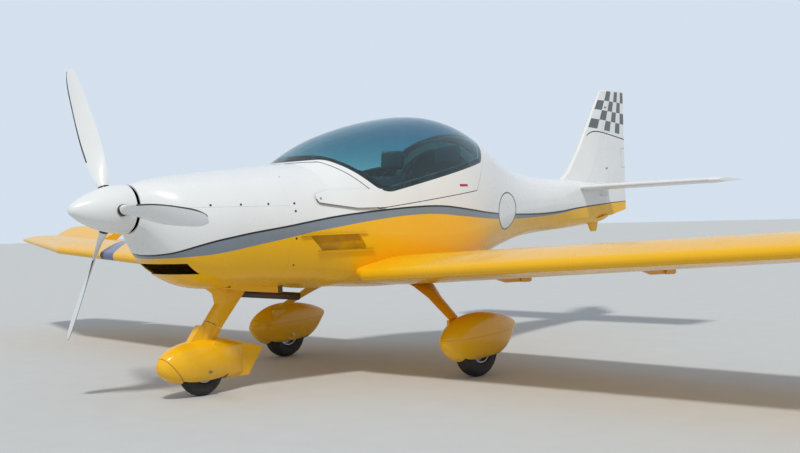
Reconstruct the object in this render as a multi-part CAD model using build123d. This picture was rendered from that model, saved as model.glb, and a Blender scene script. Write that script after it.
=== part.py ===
# Two-seat low-wing ultralight aircraft on a fixed tricycle gear, with a forward-tilting canopy.
# +X points to the nose, +Y to port and +Z up. The origin is on the ground, midway between the
# spinner's tip and the rudder's trailing edge. Stations are measured aft from the spinner's tip.
import os
from functools import cache
from math import atan2, cos, degrees, hypot, pi, radians, sin, sqrt, tan

from build123d import *

os.makedirs("parts", exist_ok=True)

# Overall layout
LENGTH = 5350
HALF_SPAN = 4700
THRUST_LINE_Z = 1063
PANEL_GAP = 5
SEAT_GAP = 0.3
RUNNING_GAP = 0.05

# Body shell: the wall of the cabin and of the engine cowl
CABIN_WALL = 20
COWL_WALL = 8
GLASS_THICKNESS = 5
FIREWALL_STATION = 1120
FIREWALL_THICKNESS = 10
WINDSHIELD_STATION = 1433
CABIN_REAR_STATION = 3000
BULKHEAD_THICKNESS = 8
RUDDER_HINGE_STATION = 5045
BODY_END_STATION = 5012

# Body sections. Columns: station, half width, height of the widest line, top, bottom,
# shoulder and bilge (corner radius above and below, as a share of the smaller half axis).
CROWN_RISE = 0.12
SIDE_BULGE = 0.11
NOSE_SECTIONS = [
    (345, 136, 1063, 1195, 928, 0.60, 0.60),
    (450, 250, 1030, 1218, 822, 0.60, 0.58),
    (570, 335, 990, 1238, 684, 0.62, 0.52),
    (760, 395, 962, 1259, 608, 0.62, 0.50),
    (980, 428, 955, 1279, 594, 0.62, 0.49),
    (1200, 457, 940, 1299, 582, 0.62, 0.48),
    (1433, 498, 905, 1321, 570, 0.62, 0.50),
]
CABIN_SECTIONS = [
    (1433, 498, 905, 1321, 570, 0.62, 0.50),
    (1640, 543, 883, 1445, 555, 0.57, 0.50),
    (1920, 582, 861, 1550, 538, 0.58, 0.50),
    (2260, 600, 855, 1626, 532, 0.60, 0.50),
    (2600, 572, 880, 1652, 588, 0.60, 0.52),
    (2950, 470, 930, 1575, 660, 0.60, 0.58),
    (3300, 350, 980, 1412, 722, 0.60, 0.58),
    (3650, 262, 1007, 1296, 787, 0.60, 0.58),
    (4000, 205, 1028, 1246, 820, 0.60, 0.58),
    (4350, 148, 1040, 1234, 838, 0.60, 0.58),
    (4700, 92, 1050, 1220, 862, 0.60, 0.58),
    (5040, 42, 1060, 1205, 918, 0.60, 0.58),
]


def station(s):
    """Model X of a station."""
    return LENGTH / 2 - s


def arc_point(centre, radius, angle):
    return (centre[0] + radius * cos(angle), centre[1] + radius * sin(angle))


def quadrant(a, b, corner, inset, flip_y, flip_z, mid_z):
    """Three tangent arcs from (a, 0) to (0, b): side, corner and crown, moved inwards by inset."""
    rise = CROWN_RISE * min(a, b)
    bulge = SIDE_BULGE * min(a, b)
    p = a - corner - bulge
    q = b - corner - rise
    side_r = (q ** 2 + (a - p) ** 2 - corner ** 2) / (2 * bulge)
    crown_r = (p ** 2 + (b - q) ** 2 - corner ** 2) / (2 * rise)
    side_c = (a - side_r, 0)
    crown_c = (0, b - crown_r)
    low = atan2(q, p - side_c[0])
    high = atan2(q - crown_c[1], p)
    arcs = []
    for centre, radius, start, end in (
        (side_c, side_r, 0, low),
        ((p, q), corner, low, high),
        (crown_c, crown_r, high, pi / 2),
    ):
        points = [arc_point(centre, radius - inset, k) for k in (start, (start + end) / 2, end)]
        arcs.append([(flip_y * y, mid_z + flip_z * z) for y, z in points])
    return arcs


def section_face(x, half_width, mid_z, top, bottom, shoulder, bilge, inset=0):
    """One closed cross-section of twelve arcs at a given X."""
    up = top - mid_z
    down = mid_z - bottom
    upper_r = shoulder * min(half_width, up)
    lower_r = bilge * min(half_width, down)
    loop = quadrant(half_width, up, upper_r, inset, 1, 1, mid_z)
    loop += [arc[::-1] for arc in reversed(quadrant(half_width, up, upper_r, inset, -1, 1, mid_z))]
    loop += quadrant(half_width, down, lower_r, inset, -1, -1, mid_z)
    loop += [arc[::-1] for arc in reversed(quadrant(half_width, down, lower_r, inset, 1, -1, mid_z))]
    plane = Plane(origin=(x, 0, 0), x_dir=(0, 1, 0), z_dir=(1, 0, 0))
    return plane * make_face([ThreePointArc(*arc) for arc in loop])


def body_loft(sections, inset=0):
    faces = []
    for s, half_width, mid_z, top, bottom, shoulder, bilge in sections:
        faces.append(section_face(station(s), half_width, mid_z, top, bottom, shoulder, bilge, inset))
    return loft(faces)


@cache
def nose_body(inset=0):
    return body_loft(NOSE_SECTIONS, inset)


@cache
def cabin_body(inset=0):
    return body_loft(CABIN_SECTIONS, inset)


def slab(s_front, s_rear, z_low=-100, z_high=3000, half_width=2000):
    """A block across the whole body between two stations and two heights."""
    low = (station(s_rear), -half_width, z_low)
    size = (s_rear - s_front, 2 * half_width, z_high - z_low)
    return Pos(*low) * Box(*size, align=(Align.MIN, Align.MIN, Align.MIN))


def side_prism(points, radii, half_width=1500):
    """A side view outline, given as stations and heights, cut through the whole width."""
    corners = [(station(s), z) for s, z in points]
    outline = FilletPolyline(*corners, radius=radii, close=True)
    return extrude(Plane.XZ * make_face(outline), half_width, both=True)


def body_shell(sections, outer=0, inner=CABIN_WALL, solid_rows=0):
    """The tube between two depths below the skin. Its last rows may be left solid."""
    outside = body_loft(sections, outer).faces()
    inside = body_loft(sections[:len(sections) - solid_rows], inner).faces()
    rear, front = outside.filter_by(GeomType.PLANE).sort_by(Axis.X)
    inner_rear, inner_front = inside.filter_by(GeomType.PLANE).sort_by(Axis.X)
    walls = outside.filter_by(GeomType.PLANE, reverse=True) + inside.filter_by(GeomType.PLANE, reverse=True)
    ends = [Face(front.outer_wire(), [inner_front.outer_wire()])]
    if solid_rows:
        ends += [rear, inner_rear]
    else:
        ends.append(Face(rear.outer_wire(), [inner_rear.outer_wire()]))
    return Part() + Solid(Shell(walls + ends))


# Engine cowl
COWL_FRONT_STATION = NOSE_SECTIONS[0][0]
COWL_SPLIT_Z = 1058
SEAM = 0.6
CHIN_INLET = dict(low=700, high=760, front=440, rear=640, half_width=230)
COWL_EXIT = dict(half_width=150, front=930, high=640)

cowl = body_shell(NOSE_SECTIONS, 0, COWL_WALL) - slab(FIREWALL_STATION - SEAM, LENGTH)
cowl -= slab(300, CHIN_INLET["rear"], CHIN_INLET["low"], CHIN_INLET["high"], CHIN_INLET["half_width"])
cowl_upper = cowl & slab(0, LENGTH, COWL_SPLIT_Z + SEAM / 2)
cowl_lower = cowl & slab(0, LENGTH, -100, COWL_SPLIT_Z - SEAM / 2)
cowl_lower -= slab(COWL_EXIT["front"], 1200, 0, COWL_EXIT["high"], COWL_EXIT["half_width"])

# Outlet tunnel below the cowl: a floor and two walls that end square behind the firewall
TUNNEL = dict(rear=1276, wall=6, floor_front=598, floor_bend=577, floor_rear=548)
TUNNEL_BEND_STATION = 1016


def tunnel_prism(s_rear, lift, half_width):
    """The tunnel's side view across its width, its floor lifted by a given height."""
    floor = [(900, TUNNEL["floor_front"]), (TUNNEL_BEND_STATION, TUNNEL["floor_bend"]), (s_rear, TUNNEL["floor_rear"])]
    return side_prism([(900, 700)] + [(s, z + lift) for s, z in floor] + [(s_rear, 700)], 2, half_width)


tunnel_block = tunnel_prism(TUNNEL["rear"], 0, COWL_EXIT["half_width"] + TUNNEL["wall"])
tunnel = tunnel_block - tunnel_prism(TUNNEL["rear"] + 40, TUNNEL["wall"], COWL_EXIT["half_width"])
cowl_lower += (tunnel & slab(0, FIREWALL_STATION - SEAM)) - nose_body(COWL_WALL)
cowl_lower += (tunnel - slab(0, FIREWALL_STATION - SEAM)) - nose_body(-SEAT_GAP)

# Engine block with its four feet on the firewall
ENGINE = dict(front=520, rear=980, half_width=240, low=840, high=1150)
ENGINE_FOOT = dict(radius=18, y=170, low=880, high=1110)
engine = slab(ENGINE["front"], ENGINE["rear"], ENGINE["low"], ENGINE["high"], ENGINE["half_width"])
for side in (-1, 1):
    for z in (ENGINE_FOOT["low"], ENGINE_FOOT["high"]):
        foot_length = FIREWALL_STATION - SEAT_GAP - ENGINE["rear"]
        foot = Cylinder(ENGINE_FOOT["radius"], foot_length)
        middle = station(ENGINE["rear"] + foot_length / 2)
        engine += Pos(middle, side * ENGINE_FOOT["y"], z) * Rot(0, 90, 0) * foot

# Spinner, its back plate, the hub and the three blades
SPINNER = dict(length=325, radius=132, wall=3, blade_hole=33)
BACKPLATE = dict(front=326, thickness=8, bore=30)
PROP = dict(radius=861, plane=240, shank=28, hub_radius=62, hub_length=110, shaft=28)
BLADE_ANGLES = (-4.5, 115.5, 235.5)
# Blade columns: radius, chord, thickness, pitch angle from the plane of rotation
BLADE_SECTIONS = [
    (128, 56, 54, 62),
    (200, 84, 30, 50),
    (330, 112, 18, 38),
    (500, 120, 14, 28),
    (680, 104, 11, 22),
    (800, 80, 8, 19),
    (861, 40, 5, 18),
]


def ogive(length, radius):
    """Half of the spinner's outline, revolved about the thrust line, tip at the front."""
    nose_r = radius * 0.30
    rear_r = (length ** 2 + radius ** 2 - 2 * length * nose_r) / (2 * (radius - nose_r))
    tip_angle = atan2(rear_r - radius, length - nose_r)
    join = arc_point((nose_r, 0), nose_r, pi - tip_angle)
    nose_mid = arc_point((nose_r, 0), nose_r, pi - tip_angle / 2)
    rear_c = (length, radius - rear_r)
    rear_mid = arc_point(rear_c, rear_r, (pi - tip_angle + pi / 2) / 2)
    nose = ThreePointArc((0, 0), nose_mid, join)
    side = ThreePointArc(join, rear_mid, (length, radius))
    profile = make_face([nose, side, Line((length, radius), (length, 0)), Line((length, 0), (0, 0))])
    solid = revolve(profile, Axis.X)
    return Pos(station(0), 0, THRUST_LINE_Z) * Rot(0, 0, 180) * solid


def blade(angle):
    """One blade, lofted outwards from a round shank through thin lens sections."""
    faces = []
    for r, chord, thickness, pitch in BLADE_SECTIONS:
        half = chord / 2
        upper = ThreePointArc((-half, 0), (0, thickness * 0.62), (half, 0))
        lower = ThreePointArc((half, 0), (0, -thickness * 0.38), (-half, 0))
        section = Rot(0, 0, pitch) * make_face([upper, lower])
        faces.append(Pos(0, 0, r) * section)
    swept = loft(faces)
    shank = Cylinder(PROP["shank"], 128 - 40, align=(Align.CENTER, Align.CENTER, Align.MIN))
    whole = swept + Pos(0, 0, 40 + SEAT_GAP) * shank
    # The lens lies flat with its chord along the plane of rotation before pitch is added
    return Pos(station(PROP["plane"]), 0, THRUST_LINE_Z) * Rot(angle - 90, 0, 0) * Rot(0, 0, 90) * whole


spinner = ogive(SPINNER["length"], SPINNER["radius"])
spinner -= Pos(-SPINNER["wall"], 0, 0) * ogive(SPINNER["length"], SPINNER["radius"] - SPINNER["wall"])
for angle in BLADE_ANGLES:
    hole = Cylinder(SPINNER["blade_hole"], 200, align=(Align.CENTER, Align.CENTER, Align.MIN))
    spinner -= Pos(station(PROP["plane"]), 0, THRUST_LINE_Z) * Rot(angle - 90, 0, 0) * hole
blades = [blade(angle) for angle in BLADE_ANGLES]


def x_cylinder(radius, s_front, s_rear, y=0, z=THRUST_LINE_Z):
    length = s_rear - s_front
    return Pos(station(s_front + length / 2), y, z) * Rot(0, 90, 0) * Cylinder(radius, length)


def y_cylinder(radius, s, z, y_low, y_high):
    length = y_high - y_low
    return Pos(station(s), y_low + length / 2, z) * Rot(90, 0, 0) * Cylinder(radius, length)


hub = x_cylinder(PROP["hub_radius"], PROP["plane"] - PROP["hub_length"] / 2, PROP["plane"] + PROP["hub_length"] / 2)
hub += x_cylinder(PROP["shaft"], PROP["plane"], ENGINE["front"] - SEAT_GAP)
for piece in blades:
    hub -= piece
for angle in BLADE_ANGLES:
    socket = Cylinder(PROP["shank"] + SEAT_GAP, 100, align=(Align.CENTER, Align.CENTER, Align.MIN))
    hub -= Pos(station(PROP["plane"]), 0, THRUST_LINE_Z) * Rot(angle - 90, 0, 0) * Pos(0, 0, 40) * socket
backplate = x_cylinder(SPINNER["radius"] - SPINNER["wall"] - SEAT_GAP, BACKPLATE["front"] - BACKPLATE["thickness"], BACKPLATE["front"])
backplate -= x_cylinder(PROP["shaft"] + SEAT_GAP, 300, 340)

# Canopy outlines in the side view, as stations and heights
CANOPY_WALL = 18
FLANGE_WIDTH = 30
CANOPY_TOP_Z = 1900
GLASS_OUTLINE = [
    ((1380, 1325), 5), ((1545, 1335), 60), ((1780, 1115), 160), ((2790, 1323), 60),
    ((3030, 1585), 60), ((3030, CANOPY_TOP_Z), 5), ((1380, CANOPY_TOP_Z), 5),
]
SEAM_OUTLINE = [
    ((1370, 1322), 5), ((1515, 1322), 20), ((1690, 1145), 30), ((1700, 1028), 30), ((2640, 1134), 25),
    ((2812, 1323), 60), ((3052, 1585), 60), ((3052, CANOPY_TOP_Z + 20), 5), ((1370, CANOPY_TOP_Z + 20), 5),
]
CANOPY_PIVOT = dict(s=1330, z=1095, pin=6, arm_gap=10, arm_thickness=6)


def outline_prism(outline, grow=0):
    corners = [(station(s), z) for (s, z), _ in outline]
    radii = [r for _, r in outline]
    face = make_face(FilletPolyline(*corners, radius=radii, close=True))
    if grow:
        face = offset(face, amount=grow)
    return extrude(Plane.XZ * face, 1500, both=True)


# Fuselage shell from the firewall to the rudder, open under the canopy
fuselage = body_shell(NOSE_SECTIONS) - slab(0, FIREWALL_STATION)
fuselage += body_shell(CABIN_SECTIONS, solid_rows=1) - outline_prism(SEAM_OUTLINE, PANEL_GAP)
firewall = nose_body(CABIN_WALL + SEAT_GAP) & slab(FIREWALL_STATION, FIREWALL_STATION + FIREWALL_THICKNESS)
bulkhead = cabin_body(CABIN_WALL + SEAT_GAP) & slab(CABIN_REAR_STATION, CABIN_REAR_STATION + BULKHEAD_THICKNESS)
bulkhead -= fuselage

# Air outlet in each side behind the cowl: a shallow recess between two lips that stand off the skin
VENT = dict(depth=12, lip=12, lip_height=5)
VENT_OUTLINE = [((1235, 886), 12), ((1560, 886), 12), ((1620, 795), 12), ((1330, 795), 12)]
VENT_LIPS = [(1175, 1610, 888), (1300, 1665, 788)]
for side in (-1, 1):
    flank = slab(1100, 1700, 700, 950, 400)
    flank = Pos(0, side * 700, 0) * flank
    hollow = outline_prism(VENT_OUTLINE) & flank
    fuselage -= (hollow & slab(0, WINDSHIELD_STATION)) - nose_body(VENT["depth"])
    fuselage -= (hollow - slab(0, WINDSHIELD_STATION)) - cabin_body(VENT["depth"])
    for s_front, s_rear, z in VENT_LIPS:
        lip = slab(s_front, s_rear, z - VENT["lip_height"] / 2, z + VENT["lip_height"] / 2) & flank
        fuselage += (lip & nose_body(-VENT["lip"]) & slab(0, WINDSHIELD_STATION)) - nose_body(2)
        fuselage += ((lip & cabin_body(-VENT["lip"])) - slab(0, WINDSHIELD_STATION)) - cabin_body(2)

# Canopy: the tinted glass, and its frame with a flange below the glass
canopy_glass = body_shell(CABIN_SECTIONS, 0, GLASS_THICKNESS) & outline_prism(GLASS_OUTLINE, -SEAT_GAP)
canopy_frame = body_shell(CABIN_SECTIONS, 0, CANOPY_WALL) & outline_prism(SEAM_OUTLINE)
canopy_frame -= outline_prism(GLASS_OUTLINE)
flange = body_shell(CABIN_SECTIONS, GLASS_THICKNESS + SEAT_GAP, CANOPY_WALL) & outline_prism(GLASS_OUTLINE)
canopy_frame += flange - outline_prism(GLASS_OUTLINE, -FLANGE_WIDTH)

# Canopy hinge arms: thin straps outside the skin, from the pivot pin back to the frame
ARM_OUTLINE = [
    ((1306, 1074), 20), ((1306, 1120), 22), ((1400, 1144), 60), ((1760, 1146), 5), ((1760, 1036), 5),
    ((1560, 1036), 60), ((1400, 1060), 80),
]
ARM_FOOT_STATION = 1710
arm_inner = -CANOPY_PIVOT["arm_gap"]
arm_outer = arm_inner - CANOPY_PIVOT["arm_thickness"]
arm_strip = outline_prism(ARM_OUTLINE)
arms = body_shell(NOSE_SECTIONS, arm_outer, arm_inner) & arm_strip
arms += body_shell(CABIN_SECTIONS, arm_outer, arm_inner) & arm_strip
arms += body_shell(CABIN_SECTIONS, arm_inner, 0) & arm_strip & slab(ARM_FOOT_STATION, 1900)
pin_bore = y_cylinder(CANOPY_PIVOT["pin"] + 0.05, CANOPY_PIVOT["s"], CANOPY_PIVOT["z"], -700, 700)
canopy_frame += arms
canopy_frame -= pin_bore
fuselage -= pin_bore
PIN_HALF_SPAN = (400, 458)
pivot_pins = [
    y_cylinder(CANOPY_PIVOT["pin"], CANOPY_PIVOT["s"], CANOPY_PIVOT["z"], *sorted((side * PIN_HALF_SPAN[0], side * PIN_HALF_SPAN[1])))
    for side in (-1, 1)
]

# Wing columns: distance from the centre line, station and height of the leading edge,
# station and height of the trailing edge, thickness as a share of the chord
WING_SECTIONS = [
    (330, 1620, 690, 2660, 700, 0.080),
    (520, 1567, 643, 2779, 577, 0.149),
    (3250, 1698, 784, 2688, 754, 0.140),
    (4400, 2040, 852, 2650, 846, 0.130),
    (4640, 2115, 864, 2625, 862, 0.105),
    (HALF_SPAN, 2195, 868, 2600, 868, 0.060),
]
CREST = 0.34
NOSE_RADIUS_SHARE = 0.22
UPPER_SHARE = 0.66
TE_HALF = 2.5


def airfoil(chord, thickness):
    """Section with its leading edge at the origin and its chord along +x."""
    nose_r = NOSE_RADIUS_SHARE * thickness
    crest_x = CREST * chord
    edges = []
    for sign, height in ((1, UPPER_SHARE * thickness), (-1, (1 - UPPER_SHARE) * thickness)):
        front_r = (crest_x ** 2 + height ** 2 - 2 * crest_x * nose_r) / (2 * (height - nose_r))
        front_c = (crest_x, height - front_r)
        turn = atan2(-front_c[1], nose_r - crest_x) if height < front_r else pi / 2
        join = arc_point(front_c, front_r, turn)
        nose_mid = arc_point((nose_r, 0), nose_r, (pi + turn) / 2)
        front_mid = arc_point(front_c, front_r, (turn + pi / 2) / 2)
        run = chord - crest_x
        drop = height - TE_HALF
        rear_r = (run ** 2 + drop ** 2) / (2 * drop)
        rear_c = (crest_x, height - rear_r)
        end_angle = atan2(TE_HALF - rear_c[1], run)
        rear_mid = arc_point(rear_c, rear_r, (end_angle + pi / 2) / 2)
        corners = ((0, 0), nose_mid, join, front_mid, (crest_x, height), rear_mid, (chord, TE_HALF))
        points = [(x, sign * y) for x, y in corners]
        edges += [ThreePointArc(*points[0:3]), ThreePointArc(*points[2:5]), ThreePointArc(*points[4:7])]
    edges.append(Line((chord, TE_HALF), (chord, -TE_HALF)))
    return make_face(edges)


def wing_section(y, s_lead, z_lead, s_trail, z_trail, share):
    chord = hypot(s_trail - s_lead, z_trail - z_lead)
    aft = (s_lead - s_trail, 0, z_trail - z_lead)
    plane = Plane(origin=(station(s_lead), y, z_lead), x_dir=aft, z_dir=(0, 1, 0))
    return plane * airfoil(chord, share * chord)


def wing_solid(sections):
    return loft([wing_section(*row) for row in sections], ruled=True)


def mirrored(shape):
    return mirror(shape, about=Plane.XZ)


def lerp(a, b, t):
    return a + (b - a) * t


def wing_edge(y):
    """Stations and heights of both edges of the wing at a distance from the centre line."""
    for inner, outer in zip(WING_SECTIONS, WING_SECTIONS[1:]):
        if y <= outer[0]:
            t = (y - inner[0]) / (outer[0] - inner[0])
            return [lerp(i, o, t) for i, o in zip(inner[1:], outer[1:])]
    return list(WING_SECTIONS[-1][1:])


# Control surfaces hinge about a line at a share of the chord. Columns: first and last
# distance from the centre line, share of the chord ahead of the hinge, nose radius,
# drop of the hinge below the chord line
HINGE_GAP = 6
FLAP = dict(inner=720, outer=3540, share=0.755, nose=134, drop=58)
AILERON = dict(inner=3600, outer=4600, share=0.64, nose=70, drop=0)


def hinge_line(surface):
    """End points of a surface's hinge axis on the port wing."""
    ends = []
    for y in (surface["inner"], surface["outer"]):
        s_lead, z_lead, s_trail, z_trail, _ = wing_edge(y)
        s = lerp(s_lead, s_trail, surface["share"])
        z = lerp(z_lead, z_trail, surface["share"]) - surface["drop"]
        ends.append(Vector(station(s), y, z))
    return ends


def hinge_region(surface, gap):
    """What a surface takes of the wing: a round nose about its axis and all that lies aft of it."""
    start, end = hinge_line(surface)
    direction = (end - start).normalized()
    frame = Plane(origin=start, x_dir=Vector(-1, 0, 0), z_dir=direction)
    span = (end - start).length
    nose = Cylinder(surface["nose"] + gap, span + 2 * gap, align=(Align.CENTER, Align.CENTER, Align.MIN))
    rear = Box(600, 400, span + 2 * gap, align=(Align.MIN, Align.CENTER, Align.MIN))
    return frame * (Pos(0, 0, -gap) * (nose + rear))


# Hinges inside a surface's nose: a fixed lug in a slot, and a pin on the axis that turns with the surface
HINGE = dict(pin=4, lug_width=6, lug_half=8, side_gap=5, slot_back=12, grip=14, root=14)


def on_axis(frame, places, shape):
    """Copies of a shape at distances along a hinge axis, whose plane looks along the span."""
    copies = Part()
    for place in places:
        copies += frame * (Pos(0, 0, place) * shape)
    return copies


def nose_slot(nose):
    """What a hinge takes from the surface's nose."""
    reach = nose + 60
    width = HINGE["lug_width"] + 2 * HINGE["side_gap"]
    slot = Box(reach + HINGE["slot_back"], 2 * reach, width)
    return Pos((HINGE["slot_back"] - reach) / 2, 0, 0) * slot


def nose_lug(nose, gap):
    """The fixed lug, rooted in the structure ahead of the surface."""
    reach = nose + gap + HINGE["root"]
    lug = Pos(-reach / 2, 0, 0) * Box(reach, 2 * HINGE["lug_half"], HINGE["lug_width"])
    lug += Cylinder(HINGE["lug_half"], HINGE["lug_width"])
    return lug - Cylinder(HINGE["pin"] + RUNNING_GAP, 20)


def nose_pin():
    return Cylinder(HINGE["pin"], HINGE["lug_width"] + 2 * HINGE["side_gap"] + 2 * HINGE["grip"])


def surface_frame(surface):
    """Plane at the inner end of a wing surface's axis: x aft, y up and z along the axis."""
    start, end = hinge_line(surface)
    return Plane(origin=start, x_dir=Vector(-1, 0, 0), z_dir=(end - start).normalized())


# Flap hinges under the wing: a bracket on the wing between two horns on the flap, with one pin.
# Outlines are given from the axis, aft and up, for the part below the wing's skin
FLAP_HINGE_PLACES = (280, 1280, 2280)
FLAP_HINGE = dict(pin=5, bracket=10, horn=8, side_gap=5)
BRACKET_OUTLINE = [((-330, 90), 4), ((-355, 46), 4), ((-150, -10), 60), ((0, -14), 4), ((12, 0), 6), ((0, 13), 4), ((-146, 13), 4), ((-158, 70), 4)]
HORN_OUTLINE = [((-13, 40), 4), ((-13, -12), 8), ((60, -20), 20), ((88, -14), 8), ((84, 44), 4)]


def hinge_plate(outline, thickness, pin):
    corners = [point for point, _ in outline]
    face = make_face(FilletPolyline(*corners, radius=[r for _, r in outline], close=True))
    return extrude(face, thickness / 2, both=True) - Cylinder(pin, 60)


wing_whole = wing_solid(WING_SECTIONS) - cabin_body(-SEAT_GAP)
flap = wing_whole & hinge_region(FLAP, 0)
aileron = wing_whole & hinge_region(AILERON, 0)
wing_left = wing_whole - hinge_region(FLAP, HINGE_GAP) - hinge_region(AILERON, HINGE_GAP)

AILERON_HINGE_PLACES = (160, 760)
aileron_frame = surface_frame(AILERON)
aileron -= on_axis(aileron_frame, AILERON_HINGE_PLACES, nose_slot(AILERON["nose"]))
aileron += on_axis(aileron_frame, AILERON_HINGE_PLACES, nose_pin())
wing_left += on_axis(aileron_frame, AILERON_HINGE_PLACES, nose_lug(AILERON["nose"], HINGE_GAP))

flap_frame = surface_frame(FLAP)
bracket = hinge_plate(BRACKET_OUTLINE, FLAP_HINGE["bracket"], FLAP_HINGE["pin"] + RUNNING_GAP)
wing_left += on_axis(flap_frame, FLAP_HINGE_PLACES, bracket)
horn_offset = (FLAP_HINGE["bracket"] + FLAP_HINGE["horn"]) / 2 + FLAP_HINGE["side_gap"]
for side in (-1, 1):
    horn = Pos(0, 0, side * horn_offset) * hinge_plate(HORN_OUTLINE, FLAP_HINGE["horn"], FLAP_HINGE["pin"] - 1)
    flap += on_axis(flap_frame, FLAP_HINGE_PLACES, horn)
flap += on_axis(flap_frame, FLAP_HINGE_PLACES, Cylinder(FLAP_HINGE["pin"], 2 * horn_offset + FLAP_HINGE["horn"]))
wing_right = mirrored(wing_left)
flap_right = mirrored(flap)

# The starboard aileron stands raised, the port one lowered by as much
AILERON_AT_REST = 36
start, end = hinge_line(AILERON)
aileron_axis = Axis(start, end - start)
aileron_left = aileron.rotate(aileron_axis, -AILERON_AT_REST)
aileron_right = mirrored(aileron.rotate(aileron_axis, AILERON_AT_REST))

# Tailplane, elevator, fin and rudder
# Columns: distance from the centre line, station and height of the leading edge,
# station and height of the trailing edge, thickness as a share of the chord
TAIL_SECTIONS = [
    (30, 4480, 1165, 5010, 1165, 0.10),
    (1200, 4555, 1178, 4995, 1178, 0.10),
    (1265, 4610, 1179, 4990, 1179, 0.06),
]
ELEVATOR_HINGE_STATION = 4850
ELEVATOR_NOSE = 21
TAIL_Z = (1165, 1178)


def tail_section(y, s_lead, z_lead, s_trail, z_trail, share):
    chord = s_trail - s_lead
    plane = Plane(origin=(station(s_lead), y, z_lead), x_dir=(-1, 0, 0), z_dir=(0, 1, 0))
    return plane * symmetric_section(chord, share * chord)


def symmetric_section(chord, thickness):
    half = thickness / 2
    nose_r = half * 0.6
    crest_x = CREST * chord
    edges = []
    for sign in (1, -1):
        front_r = (crest_x ** 2 + half ** 2 - 2 * crest_x * nose_r) / (2 * (half - nose_r))
        front_c = (crest_x, half - front_r)
        turn = atan2(-front_c[1], nose_r - crest_x)
        points = [
            (0, 0),
            arc_point((nose_r, 0), nose_r, (pi + turn) / 2),
            arc_point(front_c, front_r, turn),
            arc_point(front_c, front_r, (turn + pi / 2) / 2),
            (crest_x, half),
        ]
        points = [(x, sign * y) for x, y in points]
        edges += [ThreePointArc(*points[0:3]), ThreePointArc(*points[2:5])]
        edges.append(Line(points[4], (chord, sign * TE_HALF)))
    edges.append(Line((chord, TE_HALF), (chord, -TE_HALF)))
    return make_face(edges)


def elevator_region(gap):
    start = Vector(station(ELEVATOR_HINGE_STATION), 0, TAIL_Z[0])
    nose = Cylinder(ELEVATOR_NOSE + gap, 1300, align=(Align.CENTER, Align.CENTER, Align.MIN))
    rear = Box(400, 200, 1300, align=(Align.MIN, Align.CENTER, Align.MIN))
    return Plane(origin=start, x_dir=(-1, 0, 0), z_dir=(0, 1, 0)) * (nose + rear)


ELEVATOR_HINGE_PLACES = (330, 1080)
elevator_frame = Plane(origin=(station(ELEVATOR_HINGE_STATION), 0, TAIL_Z[0]), x_dir=(-1, 0, 0), z_dir=(0, 1, 0))


def tail_panel(grow=0):
    """One side of the tailplane with its elevator, from inside the body to the tip."""
    faces = []
    for y, s_lead, z_lead, s_trail, z_trail, share in TAIL_SECTIONS:
        thicker = share + 2 * grow / (s_trail - s_lead)
        faces.append(tail_section(y, s_lead - grow, z_lead, s_trail + grow, z_trail, thicker))
    return loft(faces, ruled=True)


tail_half = tail_panel()
elevator_half = tail_half & elevator_region(0) & slab(4400, LENGTH, 900, 1400) & (Pos(0, 752, 0) * Box(6000, 1400, 4000))
elevator_half -= on_axis(elevator_frame, ELEVATOR_HINGE_PLACES, nose_slot(ELEVATOR_NOSE))
elevator_half += on_axis(elevator_frame, ELEVATOR_HINGE_PLACES, nose_pin())
stabilizer_half = tail_half - elevator_region(HINGE_GAP)
stabilizer_half += on_axis(elevator_frame, ELEVATOR_HINGE_PLACES, nose_lug(ELEVATOR_NOSE, HINGE_GAP))
ELEVATOR_TUBE = 14
tube = y_cylinder(ELEVATOR_TUBE, ELEVATOR_HINGE_STATION, TAIL_Z[0], -60, 60)
elevator = elevator_half + mirrored(elevator_half) + tube
stabilizer = stabilizer_half + mirrored(stabilizer_half) + slab(4480, 4780, 1150, 1180, 31)
stabilizer_slot = slab(4480 - SEAT_GAP, 4780 + SEAT_GAP, 1150 - SEAT_GAP, 1180 + SEAT_GAP, 31 + SEAT_GAP)

# Fin and rudder columns: height, station of the leading edge, of the trailing edge, thickness
FIN_SECTIONS = [
    (930, 4420, LENGTH, 84),
    (1215, 4340, LENGTH, 80),
    (1300, 4462, LENGTH, 76),
    (1470, 4608, LENGTH, 66),
    (1900, 4912, LENGTH, 44),
    (1985, 4972, LENGTH, 34),
    (2005, 5030, LENGTH, 20),
]
RUDDER_NOSE = 34
RUDDER_GAP = 6


def fin_section(z, s_lead, s_trail, thickness):
    plane = Plane(origin=(station(s_lead), 0, z), x_dir=(-1, 0, 0), z_dir=(0, 0, 1))
    return plane * symmetric_section(s_trail - s_lead, thickness)


def rudder_region(gap):
    nose = Cylinder(RUDDER_NOSE + gap, 1300, align=(Align.CENTER, Align.CENTER, Align.MIN))
    rear = Box(400, 200, 1300, align=(Align.MIN, Align.CENTER, Align.MIN))
    return Plane(origin=(station(RUDDER_HINGE_STATION), 0, 850), x_dir=(-1, 0, 0), z_dir=(0, 0, 1)) * (nose + rear)


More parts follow.
